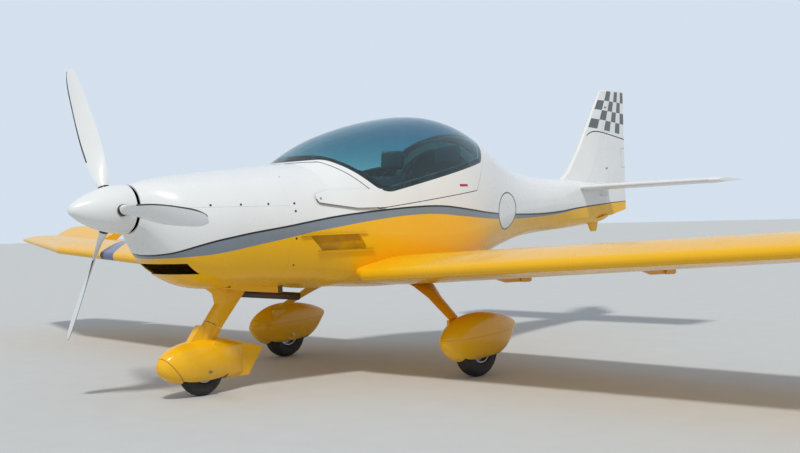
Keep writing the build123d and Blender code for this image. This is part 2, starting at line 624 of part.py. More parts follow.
vertical_tail = loft([fin_section(*row) for row in FIN_SECTIONS], ruled=True)
vertical_tail -= side_prism([(4300, 700), (4300, 860), (5045, 925), (5500, 1005), (5500, 700)], 1)
RUDDER_HINGE_PLACES = (480, 1000)
rudder_frame = Plane(origin=(station(RUDDER_HINGE_STATION), 0, 850), x_dir=(-1, 0, 0), z_dir=(0, 0, 1))
rudder = vertical_tail & rudder_region(0)
rudder -= on_axis(rudder_frame, RUDDER_HINGE_PLACES, nose_slot(RUDDER_NOSE))
rudder += on_axis(rudder_frame, RUDDER_HINGE_PLACES, nose_pin())
fuselage -= rudder_region(RUDDER_GAP) + slab(BODY_END_STATION, LENGTH + 50)
fin = (vertical_tail & slab(4300, 5100, 1000)) - rudder_region(RUDDER_GAP) - cabin_body(0) - stabilizer
fin -= y_cylinder(ELEVATOR_TUBE + 5, ELEVATOR_HINGE_STATION, TAIL_Z[0], -200, 200)
fuselage -= y_cylinder(ELEVATOR_TUBE + 5, ELEVATOR_HINGE_STATION, TAIL_Z[0], -200, 200)
fuselage -= tail_panel(SEAT_GAP) + mirrored(tail_panel(SEAT_GAP)) + stabilizer_slot
elevator_notch = slab(ELEVATOR_HINGE_STATION - ELEVATOR_NOSE - HINGE_GAP, 5100, TAIL_Z[0] - 70, TAIL_Z[0] + 70, 200)
elevator_notch -= slab(4700, 5200, 1000, 1400, 46)
fin += on_axis(rudder_frame, RUDDER_HINGE_PLACES, nose_lug(RUDDER_NOSE, RUDDER_GAP))
fin -= elevator_notch
fuselage -= elevator_notch
tail_skid = side_prism([(4700, 900), (4760, 861), (4800, 800), (4860, 800), (4900, 920)], 12, 10) - cabin_body(0)

# Wheels. Each tyre is a rounded ring on a dished rim that turns on a fixed axle.
MAIN_WHEEL = dict(s=2161, y=887, radius=165, width=100, rim=82, rim_width=84, axle=10)
NOSE_WHEEL = dict(s=786, y=0, radius=140, width=88, rim=66, rim_width=74, axle=8)


def tyre_at(wheel):
    half = wheel["width"] / 2
    inner = wheel["rim"]
    outer = wheel["radius"]
    profile = Polyline(
        (inner, -half * 0.7), (inner + 14, -half), (outer - 30, -half), (outer - 8, -half * 0.76), (outer, -half * 0.3),
        (outer, half * 0.3), (outer - 8, half * 0.76), (outer - 30, half), (inner + 14, half), (inner, half * 0.7),
        close=True,
    )
    solid = revolve(make_face(profile), Axis.Y)
    return Pos(station(wheel["s"]), wheel["y"], wheel["radius"]) * solid


def rim_at(wheel):
    half = wheel["rim_width"] / 2
    edge = wheel["rim"] - SEAT_GAP
    bore = wheel["axle"] + RUNNING_GAP
    profile = Polyline(
        (bore, -half * 0.8), (bore + 16, -half * 0.8), (bore + 22, -half * 0.35), (edge - 12, -half * 0.35),
        (edge - 8, -half), (edge, -half), (edge, half), (edge - 8, half), (edge - 12, half * 0.35),
        (bore + 22, half * 0.35), (bore + 16, half * 0.8), (bore, half * 0.8), close=True,
    )
    solid = revolve(make_face(profile), Axis.Y)
    return Pos(station(wheel["s"]), wheel["y"], wheel["radius"]) * solid


# Wheel spats. Columns: station, half width, height of the widest line, top, bottom
MAIN_SPAT = [
    (1852, 14, 230, 246, 214),
    (1895, 56, 229, 296, 158),
    (1985, 88, 232, 352, 106),
    (2140, 100, 238, 386, 95),
    (2300, 86, 246, 376, 106),
    (2440, 52, 262, 346, 170),
    (2542, 8, 284, 300, 268),
]
NOSE_SPAT = [
    (500, 14, 186, 202, 170),
    (535, 56, 188, 252, 124),
    (620, 84, 190, 296, 86),
    (740, 94, 192, 317, 69),
    (880, 80, 190, 312, 72),
    (1000, 44, 186, 286, 84),
    (1080, 8, 184, 262, 100),
]
SPAT_CLEARANCE = 12


def spat_body(rows, y=0):
    faces = [section_face(station(s), a, mid, top, low, 0.6, 0.6) for s, a, mid, top, low in rows]
    return Pos(0, y, 0) * loft(faces)


def wheel_well(wheel):
    """The hollow round a wheel, open below."""
    r = wheel["radius"] + SPAT_CLEARANCE
    half = wheel["width"] / 2 + SPAT_CLEARANCE
    drum = y_cylinder(r, wheel["s"], wheel["radius"], wheel["y"] - half, wheel["y"] + half)
    low = slab(wheel["s"] - r, wheel["s"] + r, -50, wheel["radius"], half)
    return drum + Pos(0, wheel["y"], 0) * low


# Main gear legs: a tapered spring blade from the fuselage to a foot inside each spat.
# Columns: distance from the centre line, height, station of the middle, chord, thickness
MAIN_LEG = [
    (300, 606, 2200, 270, 40),
    (480, 537, 2160, 190, 34),
    (600, 472, 2122, 124, 28),
    (822, 350, 2045, 100, 24),
]
LEG_FOOT = dict(y_low=802, y_high=822)
FOOT_OUTLINE = [((1996, 348), 4), ((2094, 348), 20), ((2195, 210), 30), ((2195, 125), 20), ((2127, 125), 20), ((1996, 290), 20)]


def leg_section(y, z, s, chord, thickness, tilt):
    plane = Plane(origin=(station(s), y, z), x_dir=(1, 0, 0), z_dir=(0, cos(radians(tilt)), -sin(radians(tilt))))
    half = chord / 2
    upper = ThreePointArc((-half, 0), (0, thickness / 2), (half, 0))
    lower = ThreePointArc((half, 0), (0, -thickness / 2), (-half, 0))
    return plane * make_face([upper, lower])


LEG_TILT = 28
main_leg = loft([leg_section(*row, LEG_TILT) for row in MAIN_LEG], ruled=True)
foot_middle = Pos(0, (LEG_FOOT["y_low"] + LEG_FOOT["y_high"]) / 2, 0)
foot_half = (LEG_FOOT["y_high"] - LEG_FOOT["y_low"]) / 2
main_leg += foot_middle * (outline_prism(FOOT_OUTLINE) & slab(1900, 2300, 0, 400, foot_half))
main_leg -= cabin_body(-SEAT_GAP)
main_leg -= wing_left
main_leg -= Pos(0, 0, -SEAT_GAP) * wing_left
main_leg -= y_cylinder(MAIN_WHEEL["axle"] + SEAT_GAP, MAIN_WHEEL["s"], MAIN_WHEEL["radius"], 700, 1000)
main_axle = y_cylinder(MAIN_WHEEL["axle"], MAIN_WHEEL["s"], MAIN_WHEEL["radius"], 792, 960)
main_spat = spat_body(MAIN_SPAT, MAIN_WHEEL["y"]) - wheel_well(MAIN_WHEEL)
main_spat -= loft([leg_section(y, z, s, chord + 4, thickness + 4, LEG_TILT) for y, z, s, chord, thickness in MAIN_LEG], ruled=True)
main_spat -= foot_middle * (outline_prism(FOOT_OUTLINE, 1) & slab(1900, 2300, 0, 400, foot_half + 1))
main_spat -= y_cylinder(MAIN_WHEEL["axle"] + SEAT_GAP, MAIN_WHEEL["s"], MAIN_WHEEL["radius"], 780, 961)

# Nose gear: a raked leg under the cowl, and a steered fork with its wheel and spat
STEER_TOP = (900, 382)
STEER_LOW = (NOSE_WHEEL["s"], NOSE_WHEEL["radius"])
STEER_STEM = 18
NOSE_LEG = [
    (384, 872, 160, 56),
    (510, 981, 168, 60),
    (568, 1003, 237, 64),
    (620, 1000, 380, 68),
]


def level_section(z, s_middle, chord, width):
    """A streamlined section lying level, blunt at the front."""
    plane = Plane(origin=(station(s_middle - chord / 2), 0, z), x_dir=(-1, 0, 0), z_dir=(0, 0, 1))
    return plane * symmetric_section(chord, width)


steer_axis = Vector(station(STEER_TOP[0]) - station(STEER_LOW[0]), 0, STEER_TOP[1] - STEER_LOW[1]).normalized()
steer_plane = Plane(origin=(station(STEER_LOW[0]), 0, STEER_LOW[1]), x_dir=(0, 1, 0), z_dir=steer_axis)
LEG_JOINT = 268
leg_loft = loft([level_section(*row) for row in NOSE_LEG], ruled=True)
lower_loft = loft([level_section(290, 830, 120, 52), level_section(384, 872, 160, 56), level_section(440, 920, 164, 58)], ruled=True)
above_joint = steer_plane * Pos(0, 0, LEG_JOINT + PANEL_GAP / 2 + 500) * Box(600, 900, 1000)
below_joint = steer_plane * Pos(0, 0, LEG_JOINT - PANEL_GAP / 2 - 500) * Box(600, 900, 1000)
nose_leg = loft([level_section(300, 835, 124, 54), *[level_section(*row) for row in NOSE_LEG]], ruled=True) & above_joint
nose_leg -= steer_plane * Pos(0, 0, 260) * Cylinder(STEER_STEM + RUNNING_GAP, 170, align=(Align.CENTER, Align.CENTER, Align.MIN))
nose_leg -= nose_body(0) + cabin_body(0) + tunnel_block
nose_fork = lower_loft & below_joint
nose_fork += steer_plane * Pos(0, 0, 200) * Cylinder(STEER_STEM, 215, align=(Align.CENTER, Align.CENTER, Align.MIN))
NOSE_ARM = dict(y_low=58, y_high=70, width=40, top=175)
for side in (-1, 1):
    arm = Box(NOSE_ARM["y_high"] - NOSE_ARM["y_low"], NOSE_ARM["width"], NOSE_ARM["top"] + 20, align=(Align.CENTER, Align.CENTER, Align.MIN))
    nose_fork += steer_plane * Pos(side * (NOSE_ARM["y_low"] + NOSE_ARM["y_high"]) / 2, 0, -20) * arm
nose_fork += steer_plane * Pos(0, 0, NOSE_ARM["top"] - 12) * Box(2 * NOSE_ARM["y_high"], NOSE_ARM["width"], 24)
clear_wheel = y_cylinder(NOSE_WHEEL["radius"] + 8, NOSE_WHEEL["s"], NOSE_WHEEL["radius"], -NOSE_ARM["y_low"], NOSE_ARM["y_low"])
nose_fork -= clear_wheel
nose_fork -= y_cylinder(NOSE_WHEEL["axle"] + SEAT_GAP, NOSE_WHEEL["s"], NOSE_WHEEL["radius"], -200, 200)
TOW_PIN_END = 112
TOW_PIN_START = 95
TOW_PIN = 7
nose_axle = y_cylinder(NOSE_WHEEL["axle"], NOSE_WHEEL["s"], NOSE_WHEEL["radius"], -TOW_PIN_START, TOW_PIN_START)
nose_axle += y_cylinder(TOW_PIN, NOSE_WHEEL["s"], NOSE_WHEEL["radius"], -TOW_PIN_END, TOW_PIN_END)
tail_plate = side_prism([(900, 322), (1236, 229), (1123, 75), (900, 76)], 6, 5)
saddle = side_prism([(690, 290), (742, 356), (774, 397), (796, 397), (805, 380), (797, 280)], 6, 22)
nose_spat = (spat_body(NOSE_SPAT) + tail_plate + saddle) - wheel_well(NOSE_WHEEL)
nose_spat -= y_cylinder(NOSE_WHEEL["axle"] + SEAT_GAP, NOSE_WHEEL["s"], NOSE_WHEEL["radius"], -200, 200)
nose_spat -= nose_fork

# Cabin: panel, seats, hoop behind the seats, sticks
PANEL_FACE_STATION = 1740
panel_side = side_prism([(1450, 1286), (1690, 1262), (1740, 1238), (1740, 960), (1722, 960), (1722, 1222), (1460, 1262)], 5)
instrument_panel = (panel_side & cabin_body(CABIN_WALL + SEAT_GAP)) + (panel_side & slab(1700, 1760, 900, 1010) & cabin_body(CABIN_WALL + SEAT_GAP))
instrument_panel -= fuselage
SEAT_Y = 262
SEAT_WIDTH = 400
STICK_STATION = 1980
cushion = side_prism([(2010, 640), (2010, 750), (2440, 716), (2500, 606), (2040, 580)], 30, SEAT_WIDTH / 2)
back = side_prism([(2430, 640), (2550, 640), (2712, 1290), (2640, 1300)], 30, SEAT_WIDTH / 2)
back -= cushion
back -= Pos(-SEAT_GAP, 0, SEAT_GAP) * cushion
headrest = side_prism([(2636, 1301), (2706, 1291.2), (2724, 1446), (2656, 1456)], 20, 110)
seat_cushion_left = (Pos(0, SEAT_Y, 0) * cushion) & cabin_body(CABIN_WALL + SEAT_GAP)
seat_back_left = (Pos(0, SEAT_Y, 0) * back) & cabin_body(CABIN_WALL + SEAT_GAP)
headrest_left = Pos(0, SEAT_Y, 0) * headrest

HOOP = dict(s=2870, depth=50, wall=46, half_width=482, mid=930, top=1492, low=700)
hoop_outer = section_face(station(HOOP["s"]), HOOP["half_width"], HOOP["mid"], HOOP["top"], HOOP["low"], 0.6, 0.5)
hoop_inner = section_face(station(HOOP["s"]), HOOP["half_width"], HOOP["mid"], HOOP["top"], HOOP["low"], 0.6, 0.5, HOOP["wall"])
hoop = extrude(hoop_outer - hoop_inner, HOOP["depth"] / 2, both=True) & cabin_body(CABIN_WALL + SEAT_GAP)
stick = Pos(station(STICK_STATION), SEAT_Y, 540) * Cylinder(11, 430, align=(Align.CENTER, Align.CENTER, Align.MIN))
stick = stick & cabin_body(CABIN_WALL + SEAT_GAP)
console = side_prism([(1735, 560), (1735, 900), (1800, 900), (2500, 700), (2500, 560)], 20, 38) & cabin_body(CABIN_WALL + SEAT_GAP)

# Exhaust pipe, from the engine down and aft through the cowl's exit
EXHAUST = dict(radius=24, wall=3, bend=60, y=-80, slot=4)
EXHAUST_PATH = [(880, ENGINE["low"] - SEAT_GAP), (880, 720), (1080, 558), (1600, 497)]
pipe_line = FilletPolyline(*[(station(s), EXHAUST["y"], z) for s, z in EXHAUST_PATH], radius=EXHAUST["bend"])
pipe_plane = Plane(origin=pipe_line @ 0, z_dir=pipe_line % 0)
pipe_end = Circle(EXHAUST["radius"]) - Circle(EXHAUST["radius"] - EXHAUST["wall"])
exhaust = sweep(pipe_plane * pipe_end, path=pipe_line)
cowl_lower -= sweep(pipe_plane * Circle(EXHAUST["radius"] + EXHAUST["slot"]), path=pipe_line)

NODES = dict(
    cowl_upper=cowl_upper,
    cowl_lower=cowl_lower,
    engine_block=engine,
    spinner=spinner,
    spinner_backplate=backplate,
    propeller_hub=hub,
    propeller_blade_1=blades[0],
    propeller_blade_2=blades[1],
    propeller_blade_3=blades[2],
    firewall=firewall,
    fuselage=fuselage,
    cabin_bulkhead=bulkhead,
    canopy_glass=canopy_glass,
    canopy_frame=canopy_frame,
    canopy_pin_left=pivot_pins[1],
    canopy_pin_right=pivot_pins[0],
    wing_left=wing_left,
    wing_right=wing_right,
    flap_left=flap,
    flap_right=flap_right,
    aileron_left=aileron_left,
    aileron_right=aileron_right,
    stabilizer=stabilizer,
    elevator=elevator,
    fin=fin,
    rudder=rudder,
    tail_skid=tail_skid,
    main_leg_left=main_leg,
    main_leg_right=mirrored(main_leg),
    main_axle_left=main_axle,
    main_axle_right=mirrored(main_axle),
    main_spat_left=main_spat,
    main_spat_right=mirrored(main_spat),
    main_rim_left=rim_at(MAIN_WHEEL),
    main_rim_right=mirrored(rim_at(MAIN_WHEEL)),
    main_tyre_left=tyre_at(MAIN_WHEEL),
    main_tyre_right=mirrored(tyre_at(MAIN_WHEEL)),
    nose_leg=nose_leg,
    nose_fork=nose_fork,
    nose_axle=nose_axle,
    nose_spat=nose_spat,
    nose_rim=rim_at(NOSE_WHEEL),
    nose_tyre=tyre_at(NOSE_WHEEL),
    instrument_panel=instrument_panel,
    centre_console=console,
    seat_cushion_left=seat_cushion_left,
    seat_cushion_right=mirrored(seat_cushion_left),
    seat_back_left=seat_back_left,
    seat_back_right=mirrored(seat_back_left),
    headrest_left=headrest_left,
    headrest_right=mirrored(headrest_left),
    cabin_hoop=hoop,
    control_stick_left=stick,
    control_stick_right=mirrored(stick),
    exhaust_pipe=exhaust,
)
for name, shape in NODES.items():
    export_step(shape, f"parts/{name}.step")
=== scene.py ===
import math

import bmesh
import bpy
import numpy as np
from mathutils import Matrix, Vector
from mathutils.bvhtree import BVHTree


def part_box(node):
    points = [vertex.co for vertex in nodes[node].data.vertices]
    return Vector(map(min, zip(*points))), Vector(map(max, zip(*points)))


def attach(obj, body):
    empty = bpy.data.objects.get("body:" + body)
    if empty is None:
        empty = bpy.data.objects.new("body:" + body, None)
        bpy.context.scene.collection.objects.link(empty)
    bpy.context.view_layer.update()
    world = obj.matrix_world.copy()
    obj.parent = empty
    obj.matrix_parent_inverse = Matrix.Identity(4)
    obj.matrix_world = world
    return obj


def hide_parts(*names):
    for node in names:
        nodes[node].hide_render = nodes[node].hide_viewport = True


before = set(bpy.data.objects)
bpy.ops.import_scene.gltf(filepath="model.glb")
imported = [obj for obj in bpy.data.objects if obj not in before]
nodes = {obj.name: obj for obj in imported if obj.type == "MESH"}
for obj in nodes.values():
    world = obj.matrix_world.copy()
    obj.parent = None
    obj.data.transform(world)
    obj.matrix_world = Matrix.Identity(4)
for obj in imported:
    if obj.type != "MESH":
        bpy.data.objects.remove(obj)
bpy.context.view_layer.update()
scene = bpy.context.scene

# View. The camera stands off the port bow at the photograph's angle, about as high as the
# propeller hub, and leans a little to one side as the photograph does.
CAMERA_PLACE = (5.455, 4.966, 0.980)
YAW, PITCH, ROLL = (math.radians(a) for a in (-136.558, -0.570, -1.827))
PHOTO_WIDTH, FOCAL_LENGTH = 800, 1061.127  # both in pixels of the photograph
SENSOR_WIDTH = 36
forward = Vector((math.cos(YAW) * math.cos(PITCH), math.sin(YAW) * math.cos(PITCH), math.sin(PITCH)))
level = forward.cross(Vector((0, 0, 1))).normalized()
upright = level.cross(forward)
right = level * math.cos(ROLL) + upright * math.sin(ROLL)
up = upright * math.cos(ROLL) - level * math.sin(ROLL)
camera_data = bpy.data.cameras.new("camera")
camera_data.sensor_width = SENSOR_WIDTH
camera_data.lens = FOCAL_LENGTH * SENSOR_WIDTH / PHOTO_WIDTH
camera_data.clip_end = 200
camera = bpy.data.objects.new("camera", camera_data)
scene.collection.objects.link(camera)
turn = Matrix((right, up, -forward)).transposed().to_4x4()
camera.matrix_world = Matrix.Translation(CAMERA_PLACE) @ turn
scene.camera = camera

# Ground and daylight. A pale apron under soft light from high on the port bow. The pale
# surroundings that the camera, the gloss and the glass see are no part of that light.
APRON_REACH = 60
SKY_LIGHT, SKY_STRENGTH = (0.80, 0.88, 1.0), 0.52
SKY_SEEN = (0.66, 0.75, 0.85)
SUN_FROM, SUN_STRENGTH, SUN_SPREAD = (0.45, 0.42, 0.80), 2.0, math.radians(6)


def shader_node(tree, kind, **values):
    """Adds a shader node. Each value goes to the input of that name, or else to the node's setting."""
    made = tree.nodes.new(kind)
    for key, value in values.items():
        name = key.replace("_", " ")
        if name not in made.inputs:
            setattr(made, key, value)
        elif isinstance(value, bpy.types.NodeSocket):
            tree.links.new(value, made.inputs[name])
        else:
            made.inputs[name].default_value = value
    return made


def sums(tree, operation, *values):
    """One step of arithmetic on sockets or numbers."""
    made = tree.nodes.new("ShaderNodeMath")
    made.operation = operation
    for socket, value in zip(made.inputs, values):
        if isinstance(value, bpy.types.NodeSocket):
            tree.links.new(value, socket)
        else:
            socket.default_value = value
    return made.outputs[0]


def spread(tree, value, start, end, low, high):
    """The value's run from start to end becomes a run from low to high, held at both ends."""
    made = shader_node(tree, "ShaderNodeMapRange", Value=value, From_Min=start, From_Max=end)
    made.inputs["To Min"].default_value = low
    made.inputs["To Max"].default_value = high
    return made.outputs[0]


def wander(tree, place, scale, low, high):
    """A noise over the place, spread between a low and a high value."""
    noise = shader_node(tree, "ShaderNodeTexNoise", Vector=place, Scale=scale, Detail=3.0)
    return spread(tree, noise.outputs[0], 0.3, 0.7, low, high)


def surface(name, color, rough=(0.3, 0.45), grain=300.0, depth=0.0001, ripple=0.0, shade=0.94, **own):
    """A material whose colour darkens to shade, and whose roughness wanders, over a broad noise. Its
    surface has a fine grain of that many waves to the metre and that depth, and a slow ripple. The colour
    is three numbers, or a function of the tree and the place. Other sockets are set by name."""
    made = bpy.data.materials.new(name)
    made.use_nodes = True
    tree = made.node_tree
    shader = tree.nodes["Principled BSDF"]
    for key, value in own.items():
        shader.inputs[key.replace("_", " ")].default_value = value
    place = shader_node(tree, "ShaderNodeTexCoord").outputs["Object"]
    if callable(color):
        color = color(tree, place)
    darker = wander(tree, place, 5.0, shade, 1.0)
    shaded = shader_node(tree, "ShaderNodeVectorMath", operation="SCALE", Scale=darker)
    if isinstance(color, bpy.types.NodeSocket):
        tree.links.new(color, shaded.inputs[0])
    else:
        shaded.inputs[0].default_value = color
    tree.links.new(shaded.outputs[0], shader.inputs["Base Color"])
    tree.links.new(wander(tree, place, 9.0, *rough), shader.inputs["Roughness"])
    fine = shader_node(tree, "ShaderNodeTexNoise", Vector=place, Scale=grain, Detail=2.0)
    bump = shader_node(tree, "ShaderNodeBump", Strength=1.0, Distance=depth, Height=fine.outputs[0])
    if ripple:
        slow = shader_node(tree, "ShaderNodeTexNoise", Vector=place, Scale=3.5, Detail=1.0)
        bump = shader_node(
            tree, "ShaderNodeBump", Strength=1.0, Distance=ripple, Height=slow.outputs[0],
            Normal=bump.outputs[0],
        )
    tree.links.new(bump.outputs[0], shader.inputs["Normal"])
    return made


def new_object(name, mesh, material):
    """An object in the scene with this mesh, finished in this material alone."""
    piece = bpy.data.objects.new(name, mesh)
    scene.collection.objects.link(piece)
    mesh.materials.clear()
    mesh.materials.append(material)
    return piece


apron = surface("apron_concrete", (0.60, 0.61, 0.60), (0.85, 0.95), 40.0, 0.0006, shade=0.97)
floor_mesh = bpy.data.meshes.new("floor")
floor_corners = [(x * APRON_REACH, y * APRON_REACH, 0) for x, y in ((-1, -1), (1, -1), (1, 1), (-1, 1))]
floor_mesh.from_pydata(floor_corners, [], [(0, 1, 2, 3)])
new_object("floor", floor_mesh, apron)

sky = bpy.data.worlds.new("sky")
sky.use_nodes = True
scene.world = sky
tree = sky.node_tree
light = tree.nodes["Background"]
light.inputs["Color"].default_value = (*SKY_LIGHT, 1)
light.inputs["Strength"].default_value = SKY_STRENGTH
seen = shader_node(tree, "ShaderNodeBackground", Color=(*SKY_SEEN, 1), Strength=1.0)
ray = shader_node(tree, "ShaderNodeLightPath")
through = sums(tree, "MAXIMUM", ray.outputs["Is Glossy Ray"], ray.outputs["Is Transmission Ray"])
shown = sums(tree, "MAXIMUM", ray.outputs["Is Camera Ray"], through)
either = tree.nodes.new("ShaderNodeMixShader")
tree.links.new(shown, either.inputs[0])
tree.links.new(light.outputs[0], either.inputs[1])
tree.links.new(seen.outputs[0], either.inputs[2])
tree.links.new(either.outputs[0], tree.nodes["World Output"].inputs["Surface"])

sun_data = bpy.data.lights.new("sun", "SUN")
sun_data.energy = SUN_STRENGTH
sun_data.angle = SUN_SPREAD
sun_data.color = (1.0, 0.97, 0.92)
sun = bpy.data.objects.new("sun", sun_data)
sun.rotation_euler = Vector(SUN_FROM).to_track_quat("Z", "Y").to_euler()
scene.collection.objects.link(sun)
scene.view_settings.view_transform = "Standard"

# Body shell and canopy frame. Glass-fibre skins in polished white gelcoat over yellow, parted by
# a black line on a grey band that rises from the chin, runs under the cabin and back to the
# rudder. Each line is given by its height at distances aft of the nose.
LENGTH = 5.35
WHITE = (0.83, 0.84, 0.83)
YELLOW = (0.93, 0.50, 0.006)
GREY = (0.22, 0.26, 0.30)
BLACK = (0.018, 0.022, 0.028)
# Darker amber for the vent floors, a painted shade under their upper lips
VENT_PAINTED_SHADE = (0.38, 0.15, 0.004)
PLATE_RED = (0.42, 0.012, 0.03)
# Near black for the cabin's inner faces, a lining that is partly painted shade
CABIN_LINING_AND_SHADE = (0.045, 0.042, 0.036)
GELCOAT = dict(
    rough=(0.20, 0.30), grain=420.0, depth=0.00003, ripple=0.0010, shade=0.97, Coat_Weight=0.15,
    Specular_IOR_Level=0.35,
)
BLACK_LINE = 0.011
STRIPE_HEIGHTS = (0.7, 1.1)
STRIPE_TOP = [
    (0.30, 0.765), (0.40, 0.795), (0.458, 0.812), (0.503, 0.831), (0.55, 0.850), (0.609, 0.869),
    (0.678, 0.886), (0.755, 0.900), (0.838, 0.914), (0.925, 0.926), (1.014, 0.937), (1.106, 0.949),
    (1.20, 0.963), (1.298, 0.977), (1.393, 0.990), (1.489, 1.001), (1.584, 1.010), (1.683, 1.019),
    (1.786, 1.026), (1.896, 1.033), (2.01, 1.038), (2.131, 1.041), (2.258, 1.038), (2.393, 1.026),
    (2.547, 1.010), (2.74, 0.992), (3.05, 0.976), (3.40, 0.970), (3.757, 0.969), (4.096, 0.981),
    (4.40, 1.004), (5.35, 1.052),
]
YELLOW_TOP = [
    (0.30, 0.755), (0.458, 0.788), (0.55, 0.797), (0.623, 0.802), (0.691, 0.810), (0.765, 0.822),
    (0.845, 0.836), (0.93, 0.850), (1.018, 0.864), (1.108, 0.879), (1.199, 0.895), (1.292, 0.910),
    (1.386, 0.922), (1.478, 0.935), (1.574, 0.948), (1.672, 0.960), (1.776, 0.970), (1.886, 0.979),
    (2.001, 0.985), (2.12, 0.986), (2.247, 0.982), (2.383, 0.970), (2.539, 0.959), (2.732, 0.946),
    (3.05, 0.935), (3.40, 0.934), (3.776, 0.943), (4.10, 0.960), (4.40, 0.990), (5.35, 1.046),
]
# The vent's front and rear edges lean aft going down, each by its slope
VENT = dict(top=0.884, bottom=0.797, front=1.238, front_slope=1.044, rear=1.558, rear_slope=0.66)
ROUNDEL = dict(aft=3.136, height=0.993, half_length=0.178, half_height=0.132, lean=0.28, inner=0.86)
PLATE = dict(bottom=1.157, top=1.173, front=2.445, rear=2.533)
CABIN = (1.14, 2.99)
BODY_MIDDLE = 0.95


def curve_of(tree, value, points, low, high, length=LENGTH):
    """A smooth curve through points, from a distance along the part to a height between low and high."""
    made = tree.nodes.new("ShaderNodeFloatCurve")
    tree.links.new(sums(tree, "DIVIDE", value, length), made.inputs["Value"])
    curve = made.mapping.curves[0]
    for k, (a, b) in enumerate(points):
        spot = (a / length, (b - low) / (high - low))
        if k < 2:
            curve.points[k].location = spot
        else:
            curve.points.new(*spot)
    made.mapping.update()
    return sums(tree, "MULTIPLY_ADD", made.outputs[0], high - low, low)


def blend_colors(tree, mask, under, over):
    """The over colour shows where the mask is 1."""
    made = tree.nodes.new("ShaderNodeMix")
    made.data_type = "RGBA"
    tree.links.new(mask, made.inputs["Factor"])
    for socket, value in ((made.inputs[6], under), (made.inputs[7], over)):
        if isinstance(value, bpy.types.NodeSocket):
            tree.links.new(value, socket)
        else:
            socket.default_value = (*value, 1)
    return made.outputs[2]


def stations(tree, place):
    """Distance aft of the nose, distance to port, and height, from the place on the part."""
    split = shader_node(tree, "ShaderNodeSeparateXYZ", Vector=place)
    return sums(tree, "SUBTRACT", LENGTH / 2, split.outputs[0]), split.outputs[1], split.outputs[2]


def both(tree, one, other):
    """1 where both masks are 1, and otherwise their product."""
    return sums(tree, "MULTIPLY", one, other)


def between(tree, value, low, high):
    """1 where the value lies between low and high, each a number or a socket."""
    return both(tree, sums(tree, "GREATER_THAN", value, low), sums(tree, "LESS_THAN", value, high))


def on_line(tree, value, middle, half_width):
    """1 within half_width of the middle."""
    away = sums(tree, "ABSOLUTE", sums(tree, "SUBTRACT", value, middle))
    return sums(tree, "LESS_THAN", away, half_width)


def stripe_colors(tree, aft, z):
    """White, then the black line, then the grey band, then yellow, from the top down."""
    line_z = curve_of(tree, aft, STRIPE_TOP, *STRIPE_HEIGHTS)
    yellow_z = curve_of(tree, aft, YELLOW_TOP, *STRIPE_HEIGHTS)
    color = blend_colors(tree, sums(tree, "LESS_THAN", z, line_z), WHITE, BLACK)
    below_black = sums(tree, "LESS_THAN", z, sums(tree, "SUBTRACT", line_z, BLACK_LINE))
    color = blend_colors(tree, below_black, color, GREY)
    return blend_colors(tree, sums(tree, "LESS_THAN", z, yellow_z), color, YELLOW)


def square_of_share(tree, value, whole):
    """The square of the value's share of the whole."""
    return sums(tree, "POWER", sums(tree, "ABSOLUTE", sums(tree, "DIVIDE", value, whole)), 2.0)


def body_colors(tree, place):
    """The stripes, darker amber in patches on the floors of the side vents as a painted shade under their
    upper lips, a plain white disc in a black ring, a blank red plate, and a near-black lining on the
    cabin's inner faces that is partly painted shade. A vent lies between two heights and two leaning edges.
    The disc is an ellipse, the sum of the squares of two shares, that leans as it rises. The lining is where
    a face within the cabin's length looks towards the body's middle."""
    aft, y, z = stations(tree, place)
    color = stripe_colors(tree, aft, z)
    drop = sums(tree, "SUBTRACT", VENT["top"], z)
    front = sums(tree, "MULTIPLY_ADD", drop, VENT["front_slope"], VENT["front"])
    rear = sums(tree, "MULTIPLY_ADD", drop, VENT["rear_slope"], VENT["rear"])
    vent = both(tree, between(tree, z, VENT["bottom"], VENT["top"]), between(tree, aft, front, rear))
    # Painted shade: the vent floors darken to amber in patches, standing for the shadow under each upper lip.
    color = blend_colors(tree, both(tree, vent, wander(tree, place, 14.0, 0.45, 0.8)), color, VENT_PAINTED_SHADE)

    above = sums(tree, "SUBTRACT", z, ROUNDEL["height"])
    beside = sums(tree, "SUBTRACT", aft, ROUNDEL["aft"])
    leaned = sums(tree, "MULTIPLY_ADD", above, -ROUNDEL["lean"], beside)
    across = square_of_share(tree, leaned, ROUNDEL["half_length"])
    oval = sums(tree, "ADD", across, square_of_share(tree, above, ROUNDEL["half_height"]))
    color = blend_colors(tree, sums(tree, "LESS_THAN", oval, 1.0), color, BLACK)
    color = blend_colors(tree, sums(tree, "LESS_THAN", oval, ROUNDEL["inner"]), color, WHITE)

    plate_height = between(tree, z, PLATE["bottom"], PLATE["top"])
    plate = both(tree, plate_height, between(tree, aft, PLATE["front"], PLATE["rear"]))
    color = blend_colors(tree, plate, color, PLATE_RED)

    # Partly painted shade: inner faces within the cabin go near black, a lining that also stands for the
    # cabin's shade.
    facing = shader_node(tree, "ShaderNodeVectorMath", operation="DOT_PRODUCT")
    outward = shader_node(tree, "ShaderNodeCombineXYZ", Y=y, Z=sums(tree, "SUBTRACT", z, BODY_MIDDLE))
    tree.links.new(shader_node(tree, "ShaderNodeTexCoord").outputs["Normal"], facing.inputs[0])
    tree.links.new(outward.outputs[0], facing.inputs[1])
    inner = sums(tree, "LESS_THAN", facing.outputs["Value"], 0.0)
    cabin = both(tree, between(tree, aft, *CABIN), sums(tree, "SUBTRACT", 1.0, vent))
    return blend_colors(tree, both(tree, inner, cabin), color, CABIN_LINING_AND_SHADE)


def dress(material, *names):
    """Gives the named CAD nodes this material."""
    for name in names:
        for slot in nodes[name].material_slots:
            slot.material = material


dress(surface("body_gelcoat", body_colors, **GELCOAT), "fuselage", "canopy_frame")

